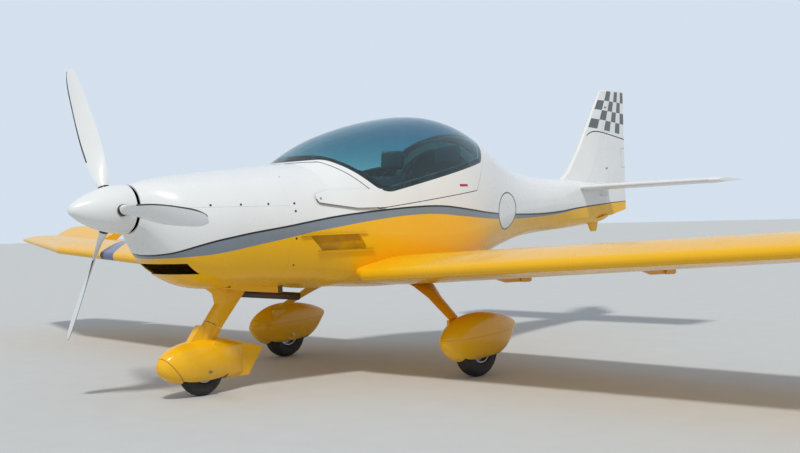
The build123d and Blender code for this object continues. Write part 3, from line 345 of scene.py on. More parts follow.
# Cowls. Two skins that meet on a level seam at the height of the crankcase and are held by
# quarter-turn fasteners: small dark discs, one pale one above, all flush with the skin.
TUNNEL_MOUTH_BROWN = (0.10, 0.06, 0.02)
TUNNEL_HEIGHTS, TUNNEL_MOUTH = (0.50, 0.60), (1.24, 1.32)
HEAD_DEPTH = -0.002
# Columns: distance aft, height, radius, whether the head is pale
FASTENERS = [
    (0.636, 1.069, 0.0070, 0), (0.810, 1.069, 0.0070, 0), (0.982, 1.069, 0.0070, 0),
    (1.154, 1.070, 0.0075, 0), (1.151, 1.026, 0.0075, 0), (1.148, 0.872, 0.0070, 0),
    (1.162, 0.721, 0.0060, 0), (1.154, 1.224, 0.0065, 1), (0.455, 1.069, 0.0070, 0),
]


def cowl_colors(tree, place):
    """The stripes, and a dark brown patch at the mouth of the cooling tunnel."""
    aft, _, z = stations(tree, place)
    mouth_patch = both(tree, between(tree, z, *TUNNEL_HEIGHTS), between(tree, aft, *TUNNEL_MOUTH))
    return blend_colors(tree, mouth_patch, stripe_colors(tree, aft, z), TUNNEL_MOUTH_BROWN)


def coordinates(mesh):
    """The mesh's points, one row each."""
    co = np.empty(len(mesh.vertices) * 3, np.float32)
    mesh.vertices.foreach_get("co", co)
    return co.reshape(-1, 3).astype(float)


def corner_numbers(mesh, corners_per_face):
    """The numbers of each face's points, one row each."""
    numbers = np.empty(len(mesh.loops), np.int32)
    mesh.loops.foreach_get("vertex_index", numbers)
    return numbers.reshape(-1, corners_per_face)


def skin_of(*names):
    """A search tree over the faces of some CAD nodes."""
    corners, faces, start = [], [], 0
    for name in names:
        mesh = nodes[name].data
        corners.append(coordinates(mesh))
        faces.append(corner_numbers(mesh, 3) + start)
        start += len(mesh.vertices)
    return BVHTree.FromPolygons(np.concatenate(corners).tolist(), np.concatenate(faces).tolist())


def merge_doubles(mesh, reach, turn_outwards=False):
    """Merges points that lie within reach of each other, and can then turn the faces outwards."""
    work = bmesh.new()
    work.from_mesh(mesh)
    bmesh.ops.remove_doubles(work, verts=work.verts, dist=reach)
    if turn_outwards:
        bmesh.ops.recalc_face_normals(work, faces=work.faces)
    work.to_mesh(mesh)
    work.free()


def make_smooth(mesh):
    mesh.polygons.foreach_set("use_smooth", np.ones(len(mesh.polygons), bool))


def piece_from_grids(name, grids, material):
    """One mesh from grids of points, each rows x columns x 3, with quads between neighbours. A grid that
    closes repeats its first row or column as its last, or has a row of one point repeated. Points that
    meet are merged, which closes these seams and poles."""
    corners, faces, start = [], [], 0
    for grid in grids:
        rows, columns = grid.shape[:2]
        index = start + np.arange(rows * columns).reshape(rows, columns)
        quads = np.stack((index[:-1, :-1], index[:-1, 1:], index[1:, 1:], index[1:, :-1]), -1)
        corners.append(grid.reshape(-1, 3))
        faces.append(quads.reshape(-1, 4))
        start += rows * columns
    mesh = bpy.data.meshes.new(name)
    mesh.from_pydata(np.concatenate(corners).tolist(), [], np.concatenate(faces).tolist())
    merge_doubles(mesh, 2e-6, turn_outwards=True)
    make_smooth(mesh)
    return new_object(name, mesh, material)


def turned(centre, axis, profile, around=24):
    """A profile of (radius, distance along the axis) pairs, turned about the axis through the centre: each
    point is the centre, plus the axis times its distance, plus its radius in the direction of the angle."""
    axis = Vector(axis).normalized()
    side = axis.orthogonal().normalized()
    other = axis.cross(side)
    angle = np.linspace(0, 2 * np.pi, around + 1)
    angle[-1] = 0
    spoke = np.outer(np.cos(angle), side) + np.outer(np.sin(angle), other)
    profile = np.asarray(profile, float)
    rise = np.outer(profile[:, 1], axis)
    return np.asarray(centre, float) + rise[:, None, :] + profile[:, 0, None, None] * spoke[None]


dress(surface("cowl_gelcoat", cowl_colors, **GELCOAT), "cowl_upper", "cowl_lower")
outer_skin = skin_of("cowl_upper", "cowl_lower", "fuselage", "canopy_frame")
dark_heads, pale_heads = [], []
for aft, z, radius, pale in FASTENERS:
    head = [
        (0, 0.0011), (radius * 0.55, 0.0010), (radius * 0.62, 0.0004), (radius * 0.9, 0.0006),
        (radius, 0.0), (radius, HEAD_DEPTH), (0, HEAD_DEPTH),
    ]
    for side in (1, -1):
        outside = Vector((LENGTH / 2 - aft, side, z))
        spot, normal, _, _ = outer_skin.ray_cast(outside, Vector((0, -side, 0)))
        (pale_heads if pale else dark_heads).append(turned(spot, normal, head))
dark_steel = surface(
    "blackened_fastener", (0.045, 0.045, 0.045), (0.35, 0.5), 900.0, 0.00005, Metallic=0.7
)
bright_steel = surface(
    "bright_fastener", (0.55, 0.55, 0.55), (0.25, 0.4), 900.0, 0.00005, Metallic=1.0
)
for name, grids, finish in (
    ("cowl_fasteners", dark_heads, dark_steel), ("cowl_studs", pale_heads, bright_steel)
):
    piece = piece_from_grids(name, grids, finish)
    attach(piece, "airframe")

# Engine, firewall, hub, pins, axles and exhaust. The block is cast iron grey and closed in, the
# firewall is stainless sheet, and the exhaust's mild steel has coloured with heat along its length.
PIPE_ENDS = (0.85, 1.62)
PIPE_START, PIPE_END = (0.20, 0.13, 0.07, 1), (0.10, 0.075, 0.06, 1)
PIPE_SHADES = ((0.35, (0.09, 0.10, 0.15, 1)), (0.7, (0.16, 0.11, 0.07, 1)))


def exhaust_colors(tree, place):
    """Straw, then blue, then brown along the pipe, by the distance aft."""
    aft, _, _ = stations(tree, place)
    ramp = shader_node(tree, "ShaderNodeValToRGB", Fac=spread(tree, aft, *PIPE_ENDS, 0.0, 1.0))
    ramp.color_ramp.elements[0].color = PIPE_START
    ramp.color_ramp.elements[1].color = PIPE_END
    for share, color in PIPE_SHADES:
        ramp.color_ramp.elements.new(share).color = color
    return ramp.outputs[0]


pipe_steel = surface(
    "heated_exhaust", exhaust_colors, (0.35, 0.6), 120.0, 0.0002, shade=0.75, Metallic=0.85
)
cast_iron = surface(
    "cast_block", (0.05, 0.05, 0.052), (0.55, 0.75), 350.0, 0.0004, shade=0.8, Metallic=0.4
)
sheet_steel = surface(
    "stainless_sheet", (0.42, 0.42, 0.43), (0.3, 0.5), 90.0, 0.0001, shade=0.85, Metallic=1.0
)
turned_steel = surface(
    "turned_steel", (0.46, 0.46, 0.47), (0.22, 0.38), 700.0, 0.00005, shade=0.85, Metallic=1.0
)
dress(pipe_steel, "exhaust_pipe")
dress(cast_iron, "engine_block")
dress(sheet_steel, "firewall", "spinner_backplate")
dress(
    turned_steel, "propeller_hub", "canopy_pin_left", "canopy_pin_right", "main_axle_left",
    "main_axle_right", "nose_axle",
)

# Spinner and blades. A painted shell, and three moulded blades that pass through its slots. Each
# blade is white, with a dark guard bonded on its leading edge from a third of its length out, and
# a dark ring where it leaves the spinner.
HUB_HEIGHT = 1.063
BLADE_ANGLES = (("propeller_blade_1", -4.5), ("propeller_blade_2", 115.5), ("propeller_blade_3", 235.5))
BLADE_REACH, GUARD_OFFSET = 0.9, 0.06
GUARD_EDGE = [
    (0.128, 0.013), (0.20, 0.027), (0.33, 0.044), (0.50, 0.053), (0.68, 0.048), (0.80, 0.038), (0.86, 0.019),
]
GUARD_WIDTH, GUARD_FROM = 0.008, 0.30
ROOT_RING = 0.136
GUARD_GREY, RING_BLACK = (0.05, 0.05, 0.055), (0.03, 0.03, 0.03)


def blade_axes(degrees):
    """The directions outwards along a blade and towards its leading edge."""
    out = (0.0, math.cos(math.radians(degrees)), math.sin(math.radians(degrees)))
    return out, (0.0, -out[2], out[1])


def blade_finish(name, degrees):
    """White gelcoat, dark within the guard's width of the leading edge and at the root. The leading edge's
    offset from the blade's axis is a curve of the distance out from the hub."""
    def colors(tree, place):
        from_hub = shader_node(tree, "ShaderNodeVectorMath", operation="SUBTRACT")
        tree.links.new(place, from_hub.inputs[0])
        from_hub.inputs[1].default_value = (0, 0, HUB_HEIGHT)
        measured = []
        for way in blade_axes(degrees):
            dot = shader_node(tree, "ShaderNodeVectorMath", operation="DOT_PRODUCT")
            tree.links.new(from_hub.outputs[0], dot.inputs[0])
            dot.inputs[1].default_value = way
            measured.append(dot.outputs["Value"])
        radius, offset = measured
        edge = curve_of(tree, radius, GUARD_EDGE, 0.0, GUARD_OFFSET, BLADE_REACH)
        guard = sums(tree, "GREATER_THAN", offset, sums(tree, "SUBTRACT", edge, GUARD_WIDTH))
        guard = both(tree, guard, sums(tree, "GREATER_THAN", radius, GUARD_FROM))
        color = blend_colors(tree, guard, WHITE, GUARD_GREY)
        return blend_colors(tree, sums(tree, "LESS_THAN", radius, ROOT_RING), color, RING_BLACK)

    return surface(f"{name}_paint", colors, (0.2, 0.32), 420.0, 0.00003, 0.0, 0.97, Coat_Weight=0.35)


spinner_paint = surface(
    "spinner_paint", WHITE, (0.16, 0.26), 420.0, 0.00003, 0.0006, 0.97, Coat_Weight=0.5
)
dress(spinner_paint, "spinner")
for name, degrees in BLADE_ANGLES:
    dress(blade_finish(name, degrees), name)

# Blade collars. White moulded rings fill the spinner's round slots about each blade's root, a
# hair's breadth clear of the slot all round, and follow the spinner's curve.
COLLAR = dict(plane=0.240, inner=0.0286, outer=0.0318, thick=0.004, sunk=0.0012)
SPINNER = dict(length=0.325, base=0.132, arc=0.5266)


def collar(degrees):
    """A ring about a blade's axis. A point at radius rho and angle t stands out as far as the spinner's
    skin there: the root of the skin's radius squared less the square of rho times the sine of t. The
    skin's radius is the spinner's base radius less the drop of a wide arc that is level at the base."""
    out, lead = blade_axes(degrees)
    angle = np.linspace(0, 2 * np.pi, 49)
    angle[-1] = 0
    inner, outer = COLLAR["inner"], COLLAR["outer"]
    rho = np.array((inner, outer, outer, inner, inner))
    sunk = np.array((0, 0, 1, 1, 0)) * COLLAR["thick"] + COLLAR["sunk"]
    ahead = rho[:, None] * np.cos(angle)
    aside = rho[:, None] * np.sin(angle)
    to_base = SPINNER["length"] - (COLLAR["plane"] - ahead)
    skin = SPINNER["base"] - SPINNER["arc"] + np.sqrt(SPINNER["arc"] ** 2 - to_base ** 2)
    rise = np.sqrt(skin ** 2 - aside ** 2) - sunk[:, None]
    hub = np.array((LENGTH / 2 - COLLAR["plane"], 0, HUB_HEIGHT))
    forwards = np.array((1.0, 0, 0))
    return hub + rise[..., None] * out + aside[..., None] * lead + ahead[..., None] * forwards


piece = piece_from_grids("blade_collars", [collar(degrees) for _, degrees in BLADE_ANGLES], spinner_paint)
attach(piece, "propeller")

# Wings, flaps and ailerons. Foam-cored glass-fibre skins in yellow gelcoat. The starboard wing
# carries a grey-blue sash with a black edge that sweeps outboard as it runs aft.
SASH_BLUE = (0.13, 0.15, 0.28)
SASH = dict(start=1.60, side=2.27, slope=0.6, sweep=0.75, width=0.16, narrowing=1.35)
SASH_EDGE = dict(width=0.055, narrowing=2.0)


def narrowed(tree, run, band):
    """The band's width, which shrinks by an exponential of the run."""
    fading = sums(tree, "EXPONENT", sums(tree, "MULTIPLY", run, -band["narrowing"]))
    return sums(tree, "MULTIPLY", fading, band["width"])


def sash_colors(tree, place):
    """Yellow, with the sash where the distance to starboard lies between a curve and that curve plus the
    sash's width, and black just outboard of it. The curve is the side, plus the slope times the run aft of
    the leading edge, plus the sweep times the run squared."""
    aft, y, _ = stations(tree, place)
    run = sums(tree, "MAXIMUM", sums(tree, "SUBTRACT", aft, SASH["start"]), 0.0)
    starboard = sums(tree, "MULTIPLY", y, -1.0)
    steeper = sums(tree, "MULTIPLY_ADD", run, SASH["sweep"], SASH["slope"])
    inner = sums(tree, "MULTIPLY_ADD", run, steeper, SASH["side"])
    outer = sums(tree, "ADD", inner, narrowed(tree, run, SASH))
    edge = sums(tree, "ADD", outer, narrowed(tree, run, SASH_EDGE))
    color = blend_colors(tree, between(tree, starboard, inner, outer), YELLOW, SASH_BLUE)
    return blend_colors(tree, between(tree, starboard, outer, edge), color, BLACK)


dress(surface("starboard_wing_gelcoat", sash_colors, **GELCOAT), "wing_right", "flap_right", "aileron_right")
dress(surface("port_wing_gelcoat", YELLOW, **GELCOAT), "wing_left", "flap_left", "aileron_left")

# Tail. Gelcoated skins, with grey and white checks on the upper half of the fin and rudder over a
# thin dark arc. The rudder takes the body's stripes and has a trim tab let into its trailing edge.
CHECK_GREY = (0.13, 0.15, 0.16)
CHECK_ROWS = dict(top=1.994, height=0.0925, count=4, level_at=1.988, tilt=0.27)
CHECK_COLUMNS = dict(number=8.3, fan=-2.2, edge=0.965)
FIN_EDGE = dict(height=1.47, aft=4.608, sweep=0.707)
ARC_HEIGHTS, ARC_START, ARC_LENGTH = (1.5, 1.7), 4.60, 0.80
ARC_FROM, ARC_HALF_WIDTH = 4.742, 0.0045
CHECK_ARC = [
    (4.68, 1.540), (4.737, 1.594), (4.78, 1.622), (4.84, 1.638), (4.95, 1.636), (5.066, 1.624),
    (5.20, 1.607), (5.35, 1.588),
]
TAB = dict(front=5.290, bottom=1.344, top=1.51, half_line=0.0013)
SEAM_GREY = (0.10, 0.10, 0.10)


def checks(tree, aft, z, color):
    """Grey squares where the row and column numbers add up to an even number, and the arc below them. The
    columns fan out from the tip: their number is 8.3 u - 2.2 u squared, for u the share of the way from
    the trailing to the leading edge at that height. The rows tilt down going aft, more so lower down."""
    rise = sums(tree, "SUBTRACT", z, FIN_EDGE["height"])
    lead = sums(tree, "MULTIPLY_ADD", rise, FIN_EDGE["sweep"], FIN_EDGE["aft"])
    to_edge = sums(tree, "SUBTRACT", LENGTH, aft)
    u = sums(tree, "DIVIDE", to_edge, sums(tree, "SUBTRACT", LENGTH, lead))
    fanned = sums(tree, "MULTIPLY_ADD", u, CHECK_COLUMNS["fan"], CHECK_COLUMNS["number"])
    column = sums(tree, "MULTIPLY", u, fanned)
    below = sums(tree, "SUBTRACT", CHECK_ROWS["level_at"], z)
    tilt = sums(tree, "MULTIPLY", below, sums(tree, "SUBTRACT", aft, LENGTH))
    level = sums(tree, "MULTIPLY_ADD", tilt, CHECK_ROWS["tilt"], z)
    row = sums(tree, "DIVIDE", sums(tree, "SUBTRACT", CHECK_ROWS["top"], level), CHECK_ROWS["height"])
    steps = sums(tree, "ADD", sums(tree, "FLOOR", column), sums(tree, "FLOOR", row))
    # An even number is added first, because a negative one has no true remainder
    even = sums(tree, "LESS_THAN", sums(tree, "MODULO", sums(tree, "ADD", steps, 100.0), 2.0), 0.5)
    inside = both(
        tree, between(tree, row, 0.0, CHECK_ROWS["count"]), sums(tree, "LESS_THAN", u, CHECK_COLUMNS["edge"])
    )
    color = blend_colors(tree, both(tree, even, inside), color, CHECK_GREY)
    points = [(a - ARC_START, b) for a, b in CHECK_ARC]
    arc = curve_of(tree, sums(tree, "SUBTRACT", aft, ARC_START), points, *ARC_HEIGHTS, ARC_LENGTH)
    line = both(tree, on_line(tree, z, arc, ARC_HALF_WIDTH), sums(tree, "GREATER_THAN", aft, ARC_FROM))
    return blend_colors(tree, line, color, BLACK)


def fin_colors(tree, place):
    """White with the checks."""
    aft, _, z = stations(tree, place)
    return checks(tree, aft, z, WHITE)


def rudder_colors(tree, place):
    """The body's stripes, the checks, and the trim tab's dark outline of two level lines and an upright."""
    aft, _, z = stations(tree, place)
    color = checks(tree, aft, z, stripe_colors(tree, aft, z))
    ends = sums(
        tree, "MAXIMUM", on_line(tree, z, TAB["bottom"], TAB["half_line"]),
        on_line(tree, z, TAB["top"], TAB["half_line"]),
    )
    ends = both(tree, ends, sums(tree, "GREATER_THAN", aft, TAB["front"]))
    hinge = both(
        tree, on_line(tree, aft, TAB["front"], TAB["half_line"]), between(tree, z, TAB["bottom"], TAB["top"])
    )
    return blend_colors(tree, sums(tree, "MAXIMUM", ends, hinge), color, SEAM_GREY)


dress(surface("fin_gelcoat", fin_colors, **GELCOAT), "fin")
dress(surface("rudder_gelcoat", rudder_colors, **GELCOAT), "rudder")
dress(surface("tailplane_gelcoat", WHITE, **GELCOAT), "stabilizer", "elevator")

# Landing gear. Glass-fibre legs and wheel spats in the wings' yellow, dusty towards the ground.
# Each spat is moulded in two halves that meet on a thin seam.
DUST = (0.36, 0.27, 0.13)
DUST_TOP, DUST_FULL, DUST_SHARE = 0.22, 0.07, 0.35
# A seam passes through a distance aft and a height, and leaves them by its slope
NOSE_SEAM = dict(height=0.263, aft=0.500, slope=0.80, half_width=0.0028, color=(0.40, 0.13, 0.01))
MAIN_SEAM = dict(height=0.243, aft=1.85, slope=0.03, half_width=0.0012, color=(0.55, 0.26, 0.01))


def dusty_yellow(tree, place):
    """Yellow that takes on a thin tan dust near the ground, in patches."""
    _, _, z = stations(tree, place)
    low = spread(tree, z, DUST_TOP, DUST_FULL, 0.0, DUST_SHARE)
    patches = both(tree, low, wander(tree, place, 22.0, 0.2, 1.0))
    return blend_colors(tree, patches, YELLOW, DUST)


def nose_spat_colors(tree, place):
    """Dusty yellow with a brown seam across it that slants aft going down."""
    aft, _, z = stations(tree, place)
    drop = sums(tree, "SUBTRACT", NOSE_SEAM["height"], z)
    seam = sums(tree, "MULTIPLY_ADD", drop, NOSE_SEAM["slope"], NOSE_SEAM["aft"])
    line = on_line(tree, aft, seam, NOSE_SEAM["half_width"])
    return blend_colors(tree, line, dusty_yellow(tree, place), NOSE_SEAM["color"])


def main_spat_colors(tree, place):
    """Dusty yellow with a faint seam along the spat at its middle height."""
    aft, _, z = stations(tree, place)
    run = sums(tree, "SUBTRACT", aft, MAIN_SEAM["aft"])
    seam = sums(tree, "MULTIPLY_ADD", run, MAIN_SEAM["slope"], MAIN_SEAM["height"])
    line = on_line(tree, z, seam, MAIN_SEAM["half_width"])
    return blend_colors(tree, line, dusty_yellow(tree, place), MAIN_SEAM["color"])


dress(
    surface("leg_gelcoat", dusty_yellow, **GELCOAT), "main_leg_left", "main_leg_right", "nose_leg",
    "nose_fork", "tail_skid",
)
dress(surface("nose_spat_gelcoat", nose_spat_colors, **GELCOAT), "nose_spat")
dress(surface("main_spat_gelcoat", main_spat_colors, **GELCOAT), "main_spat_left", "main_spat_right")

# Wheels. Cast alloy rims, and tyres of black rubber, greyed by dust, with four shallow grooves
# moulded round the tread.
RUBBER_BLACK, RUBBER_DUST = (0.014, 0.014, 0.015), (0.09, 0.08, 0.065)
GROOVES = (-0.26, -0.09, 0.09, 0.26)  # places on the tread, as shares of the tyre's width
GROOVE_HALF, GROOVE_DEPTH = 0.022, 0.0035
# Columns: rides on, CAD tyre, distance aft, side, radius, width, rim radius
TYRES = [
    ("main_wheel_left", "main_tyre_left", 2.161, 0.887, 0.165, 0.100, 0.082),
    ("main_wheel_right", "main_tyre_right", 2.161, -0.887, 0.165, 0.100, 0.082),
    ("nose_wheel", "nose_tyre", 0.786, 0.0, 0.140, 0.088, 0.066),
]


def rubber_colors(tree, place):
    """Black rubber under a brown-grey dust in fine patches."""
    return blend_colors(tree, wander(tree, place, 60.0, 0.0, 0.25), RUBBER_BLACK, RUBBER_DUST)


def tyre_profile(radius, width, rim, points=120):
    """A closed section: the radius is the middle one plus half the height times the cosine of the angle to
    a power, and the width is the sine to the same power. The power is gentle on the tread side and hard
    at the bead. The tread drops by the grooves' depth near each groove's place."""
    angle = np.linspace(0, 2 * np.pi, points + 1)
    c, s = np.cos(angle), np.sin(angle)
    power = np.where(c > 0, 2 / 2.5, 2 / 5.0)
    out = (radius + rim) / 2 + (radius - rim) / 2 * np.sign(c) * np.abs(c) ** power
    wide = width / 2 * np.sign(s) * np.abs(s) ** power
    for middle in GROOVES:
        near = np.abs(wide / width - middle) < GROOVE_HALF
        out = np.where(near & (c > 0.5), out - GROOVE_DEPTH, out)
    out[-1], wide[-1] = out[0], wide[0]
    return np.stack((out, wide), -1)


tyre_rubber = surface("tyre_rubber", rubber_colors, (0.6, 0.85), 800.0, 0.0003, shade=0.8)
for body, node, aft, y, radius, width, rim in TYRES:
    grid = turned((LENGTH / 2 - aft, y, radius), (0, 1, 0), tyre_profile(radius, width, rim), 96)
    piece = piece_from_grids(f"{node}_tread", [grid], tyre_rubber)
    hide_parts(node)
    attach(piece, body)
cast_alloy = surface("cast_alloy", (0.50, 0.51, 0.53), (0.35, 0.5), 500.0, 0.0002, shade=0.8, Metallic=0.9)
dress(cast_alloy, "main_rim_left", "main_rim_right", "nose_rim")

# Cabin fittings. A black moulded panel, console and control sticks, a felt-covered bulkhead, and
# a cream padded hoop behind the seats.
CREAM = (0.66, 0.63, 0.45)
moulded = surface("black_moulding", (0.028, 0.028, 0.03), (0.45, 0.6), 700.0, 0.0002, shade=0.85)
felt = surface("bulkhead_felt", (0.05, 0.048, 0.042), (0.85, 0.95), 1200.0, 0.0005, shade=0.7)
cream_trim = surface("cream_trim", CREAM, (0.5, 0.65), 500.0, 0.0003, shade=0.85)
dress(moulded, "instrument_panel", "centre_console", "control_stick_left", "control_stick_right")
dress(felt, "cabin_bulkhead")
dress(cream_trim, "cabin_hoop")

# Instruments. Round gauges in black bezels under flat glass, four before each seat and three
# small ones between, with plain pale pointers and no marks. They stand on the panel's face.
# Columns: side, height, radius
GAUGES = [
    (0.330, 1.155, 0.040), (0.235, 1.155, 0.040), (0.330, 1.060, 0.040), (0.235, 1.060, 0.040),
    (0.080, 1.165, 0.028), (0.005, 1.165, 0.028), (-0.070, 1.165, 0.028),
    (-0.330, 1.155, 0.040), (-0.235, 1.155, 0.040), (-0.330, 1.060, 0.040), (-0.235, 1.060, 0.040),
]
GAUGE_BACK, GLASS_FRONT = -0.001, 0.0012
FIRST_TURN, NEXT_TURN = 0.9, 1.3


def pointer(spot, turn, radius):
    """A tapered bar from the gauge's middle out at the turn's angle. Its section is a flat rectangle, whose
    half width falls evenly with the reach, and it closes to a point at the middle."""
    along = np.array((0, math.cos(turn), math.sin(turn)))
    cross = np.array((0, -math.sin(turn), math.cos(turn)))
    reach = np.linspace(0, radius * 0.75, 5)
    half = np.linspace(0.0016, 0.0004, 5)
    section = np.array(((-1, 1), (1, 1), (1, 2), (-1, 2), (-1, 1)), float)
    bar = np.asarray(spot) + reach[:, None, None] * along + half[:, None, None] * section[None, :, :1] * cross
    bar = bar + np.array((-1.0, 0, 0)) * (0.0004 + 0.0008 * section[None, :, 1:])
    middle = np.repeat(bar[:1].mean(1, keepdims=True), len(section), 1)
    return np.concatenate((middle, bar))


panel_skin = skin_of("instrument_panel")
aft_way = Vector((-1, 0, 0))
bezels, faces, pointers = [], [], []
for number, (y, z, radius) in enumerate(GAUGES):
    spot = panel_skin.ray_cast(Vector((0.5, y, z)), -aft_way)[0]
    ring = [
        (radius * 0.84, GAUGE_BACK), (radius * 0.86, 0.004), (radius * 0.96, 0.005), (radius, 0.003),
        (radius, GAUGE_BACK), (radius * 0.84, GAUGE_BACK),
    ]
    disc = [(0, GLASS_FRONT), (radius * 0.85, GLASS_FRONT), (radius * 0.85, GAUGE_BACK), (0, GAUGE_BACK)]
    bezels.append(turned(spot, aft_way, ring, 32))
    faces.append(turned(spot, aft_way, disc, 32))
    pointers.append(pointer(spot, FIRST_TURN + NEXT_TURN * number, radius))
gauge_face = surface(
    "gauge_face", (0.012, 0.012, 0.014), (0.15, 0.25), 600.0, 0.00003, shade=0.9, Coat_Weight=0.8
)
pointer_white = surface("pointer_white", (0.75, 0.75, 0.7), (0.4, 0.5), 600.0, 0.00003)
for name, grids, finish in (
    ("gauge_bezels", bezels, moulded), ("gauge_faces", faces, gauge_face),
    ("gauge_pointers", pointers, pointer_white),
):
    piece = piece_from_grids(name, grids, finish)
    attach(piece, "airframe")

# Seats. Foam pads in black leather with cream side bolsters and sewn seams between, and glossy
# black headrests. The port pads are blown up as cloth from slightly smaller forms, and the
# starboard ones are the same pads mirrored.
SEAT_MIDDLE, BOLSTER_FROM, BOLSTER_TOP = 0.262, 0.128, 1.17
LEATHER_BLACK = (0.022, 0.022, 0.025)
VOXEL, QUICK_VOXEL = 0.007, 0.009
PRESSURE, BLOW_FRAMES = 4.0, 20
PAST_BOX = 0.004
SEAM_DEPTH, BOLSTER_SEAM, CROSS_SEAM = 0.006, 0.006, 0.007
# Columns: CAD node without its side, shrink, largest swell, smoothing steps, and seams across at
# these shares of the height, or None where there are no seams at all
PADS = [
    ("seat_cushion", 0.012, 0.018, 40, ()),
    ("seat_back", 0.012, 0.018, 40, (0.38, 0.62, 0.84)),
    ("headrest", 0.002, 0.016, 160, None),
]


def leather_colors(tree, place):
    """Black leather between the bolsters and above them, cream outside, by the distance from the seat's
    middle."""
    _, y, z = stations(tree, place)
    away = sums(tree, "ABSOLUTE", sums(tree, "SUBTRACT", sums(tree, "ABSOLUTE", y), SEAT_MIDDLE))
    outside = sums(tree, "GREATER_THAN", away, BOLSTER_FROM)
    bolster = both(tree, outside, sums(tree, "LESS_THAN", z, BOLSTER_TOP))
    return blend_colors(tree, bolster, LEATHER_BLACK, CREAM)


def move_points(mesh, co):
    mesh.vertices.foreach_set("co", co.astype(np.float32).ravel())


def apply_modifiers(piece):
    """Makes what the piece's modifiers show its own mesh, and takes them off."""
    depsgraph = bpy.context.evaluated_depsgraph_get()
    mesh = bpy.data.meshes.new_from_object(piece.evaluated_get(depsgraph), depsgraph=depsgraph)
    piece.modifiers.clear()
    piece.data = mesh


def shrunk_copy(node, shrink):
    """The CAD node's mesh, drawn in from each side of its box by the same distance."""
    low, high = (np.array(corner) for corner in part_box(node))
    mesh = nodes[node].data.copy()
    merge_doubles(mesh, 1e-5)
    middle = (low + high) / 2
    move_points(mesh, middle + (coordinates(mesh) - middle) * (1 - 2 * shrink / (high - low)))
    return mesh


def soften(piece, steps):
    """Skins the piece in small even squares and rounds its edges by smoothing."""
    remesh = piece.modifiers.new("remesh", "REMESH")
    remesh.mode = "VOXEL"
    remesh.voxel_size = VOXEL
    smooth = piece.modifiers.new("soften", "SMOOTH")
    smooth.factor = 0.5
    smooth.iterations = steps
    apply_modifiers(piece)


def blow_up(piece, swell, low, high):
    """Swells the piece as cloth under air pressure, without gravity. No point moves further than the
    swell, or further than a hair's breadth out of the CAD node's box."""
    before = coordinates(piece.data)
    cloth = piece.modifiers.new("cloth", "CLOTH")
    cloth.settings.use_pressure = True
    cloth.settings.uniform_pressure_force = PRESSURE
    cloth.settings.effector_weights.gravity = 0.0
    cloth.point_cache.frame_start = 1
    cloth.point_cache.frame_end = BLOW_FRAMES
    for step in range(1, BLOW_FRAMES + 1):
        scene.frame_set(step)
    apply_modifiers(piece)
    scene.frame_set(1)
    move = coordinates(piece.data) - before
    far = np.linalg.norm(move, axis=1, keepdims=True)
    after = before + move * np.minimum(1.0, swell / np.maximum(far, 1e-9))
    move_points(piece.data, np.clip(after, low - PAST_BOX, high + PAST_BOX))
    piece.data.update()
    divide = piece.modifiers.new("divide", "SUBSURF")
    divide.levels = divide.render_levels = 1
    apply_modifiers(piece)


def sew(mesh, seams, low, high):
    """Draws the skin in along the seams, against its normal, by a bell curve of the distance to the nearest
    seam: one along each bolster, and one across between them at each share of the height."""
    co = coordinates(mesh)
    normal = np.empty(len(mesh.vertices) * 3, np.float32)
    mesh.vertices.foreach_get("normal", normal)
    across = np.abs(co[:, 1] - SEAT_MIDDLE)
    tall = high[2] - low[2]
    height = (co[:, 2] - low[2]) / tall
    sewn = np.exp(-((across - BOLSTER_FROM) / BOLSTER_SEAM) ** 2)
    for share in seams:
        seam = np.exp(-((height - share) * tall / CROSS_SEAM) ** 2)
        sewn = np.maximum(sewn, (across < BOLSTER_FROM) * seam)
    move_points(mesh, co - normal.reshape(-1, 3) * (SEAM_DEPTH * sewn)[:, None])


leather = surface(
    "seat_leather", leather_colors, (0.28, 0.42), 550.0, 0.0004, shade=0.85, Coat_Weight=0.15
)
gloss_leather = surface(
    "headrest_leather", (0.018, 0.018, 0.02), (0.16, 0.26), 450.0, 0.0003, shade=0.85, Coat_Weight=0.6
)
for stem, shrink, swell, steps, seams in PADS:
    node = f"{stem}_left"
    low, high = (np.array(corner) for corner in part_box(node))
    finish = gloss_leather if stem == "headrest" else leather
    piece = new_object(f"{stem}_pad_left", shrunk_copy(node, shrink), finish)
    soften(piece, steps)
    blow_up(piece, swell, low, high)
    mesh = piece.data
    if seams is not None:
        sew(mesh, seams, low, high)
    make_smooth(mesh)
    mesh.materials.clear()
    mesh.materials.append(finish)
    mesh.update()
    twin_mesh = bpy.data.meshes.new(f"{stem}_pad_right")
    mirrored = coordinates(mesh) * (1, -1, 1)
    twin_mesh.from_pydata(mirrored.tolist(), [], corner_numbers(mesh, 4)[:, ::-1].tolist())
    make_smooth(twin_mesh)
    twin = new_object(f"{stem}_pad_right", twin_mesh, finish)
    for pad, name in ((piece, node), (twin, f"{stem}_right")):
        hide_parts(name)
        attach(pad, "airframe")

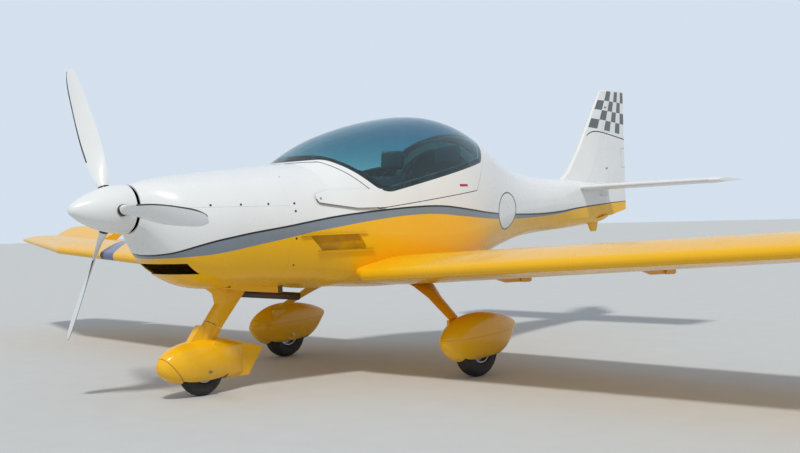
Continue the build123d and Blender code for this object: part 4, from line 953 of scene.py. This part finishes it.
# Canopy glass. One blown acrylic bubble, bonded into its frame, tinted teal all through and
# deeper towards the top, with a faint waviness from the blowing.
LOW_TINT, HIGH_TINT = (0.52, 0.78, 0.76), (0.07, 0.36, 0.48)
TINT_HEIGHTS = (1.12, 1.55)
ACRYLIC_IOR = 1.45
glass = bpy.data.materials.new("tinted_acrylic")
glass.use_nodes = True
tree = glass.node_tree
shader = tree.nodes["Principled BSDF"]
shader.inputs["Transmission Weight"].default_value = 1.0
shader.inputs["IOR"].default_value = ACRYLIC_IOR
place = shader_node(tree, "ShaderNodeTexCoord").outputs["Object"]
_, _, z = stations(tree, place)
depth = spread(tree, z, *TINT_HEIGHTS, 0.0, 1.0)
tree.links.new(blend_colors(tree, depth, LOW_TINT, HIGH_TINT), shader.inputs["Base Color"])
tree.links.new(wander(tree, place, 6.0, 0.0, 0.02), shader.inputs["Roughness"])
slow = shader_node(tree, "ShaderNodeTexNoise", Vector=place, Scale=2.0, Detail=1.0)
wavy = shader_node(tree, "ShaderNodeBump", Strength=1.0, Distance=0.002, Height=slow.outputs[0])
tree.links.new(wavy.outputs[0], shader.inputs["Normal"])
dress(glass, "canopy_glass")

# Canopy seal. A black strip of bonding paste on the frame's flange, under the whole edge of the
# glass. It is the flange's own faces, those that have the glass just above them, lifted a hair.
GLASS_REACH = 0.004
PASTE_THICKNESS = 0.0003
corners = coordinates(nodes["canopy_frame"].data)
faces = corner_numbers(nodes["canopy_frame"].data, 3)
edges = corners[faces]
facing = np.cross(edges[:, 1] - edges[:, 0], edges[:, 2] - edges[:, 0])
facing /= np.maximum(np.linalg.norm(facing, axis=1, keepdims=True), 1e-12)
centres = edges.mean(1)
glass_skin = skin_of("canopy_glass")
covered = np.array([
    glass_skin.ray_cast(Vector(c), Vector(n), GLASS_REACH)[0] is not None for c, n in zip(centres, facing)
])
from_middle = (centres - np.array((0, 0, BODY_MIDDLE))) * np.array((0, 1, 1))
outward = (facing * from_middle).sum(1) > 0
used, kept = np.unique(faces[covered & outward], return_inverse=True)
strip_mesh = bpy.data.meshes.new("canopy_seal")
strip_mesh.from_pydata(corners[used].tolist(), [], kept.reshape(-1, 3).tolist())
merge_doubles(strip_mesh, 1e-5)
paste = surface("bonding_paste", (0.012, 0.014, 0.015), (0.5, 0.7), 500.0, 0.0002, shade=0.8)
seal = new_object("canopy_seal", strip_mesh, paste)
lift = seal.modifiers.new("lift", "SOLIDIFY")
lift.thickness = PASTE_THICKNESS
lift.offset = 1.0
apply_modifiers(seal)
seal.data.materials.clear()
seal.data.materials.append(paste)
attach(seal, "canopy")
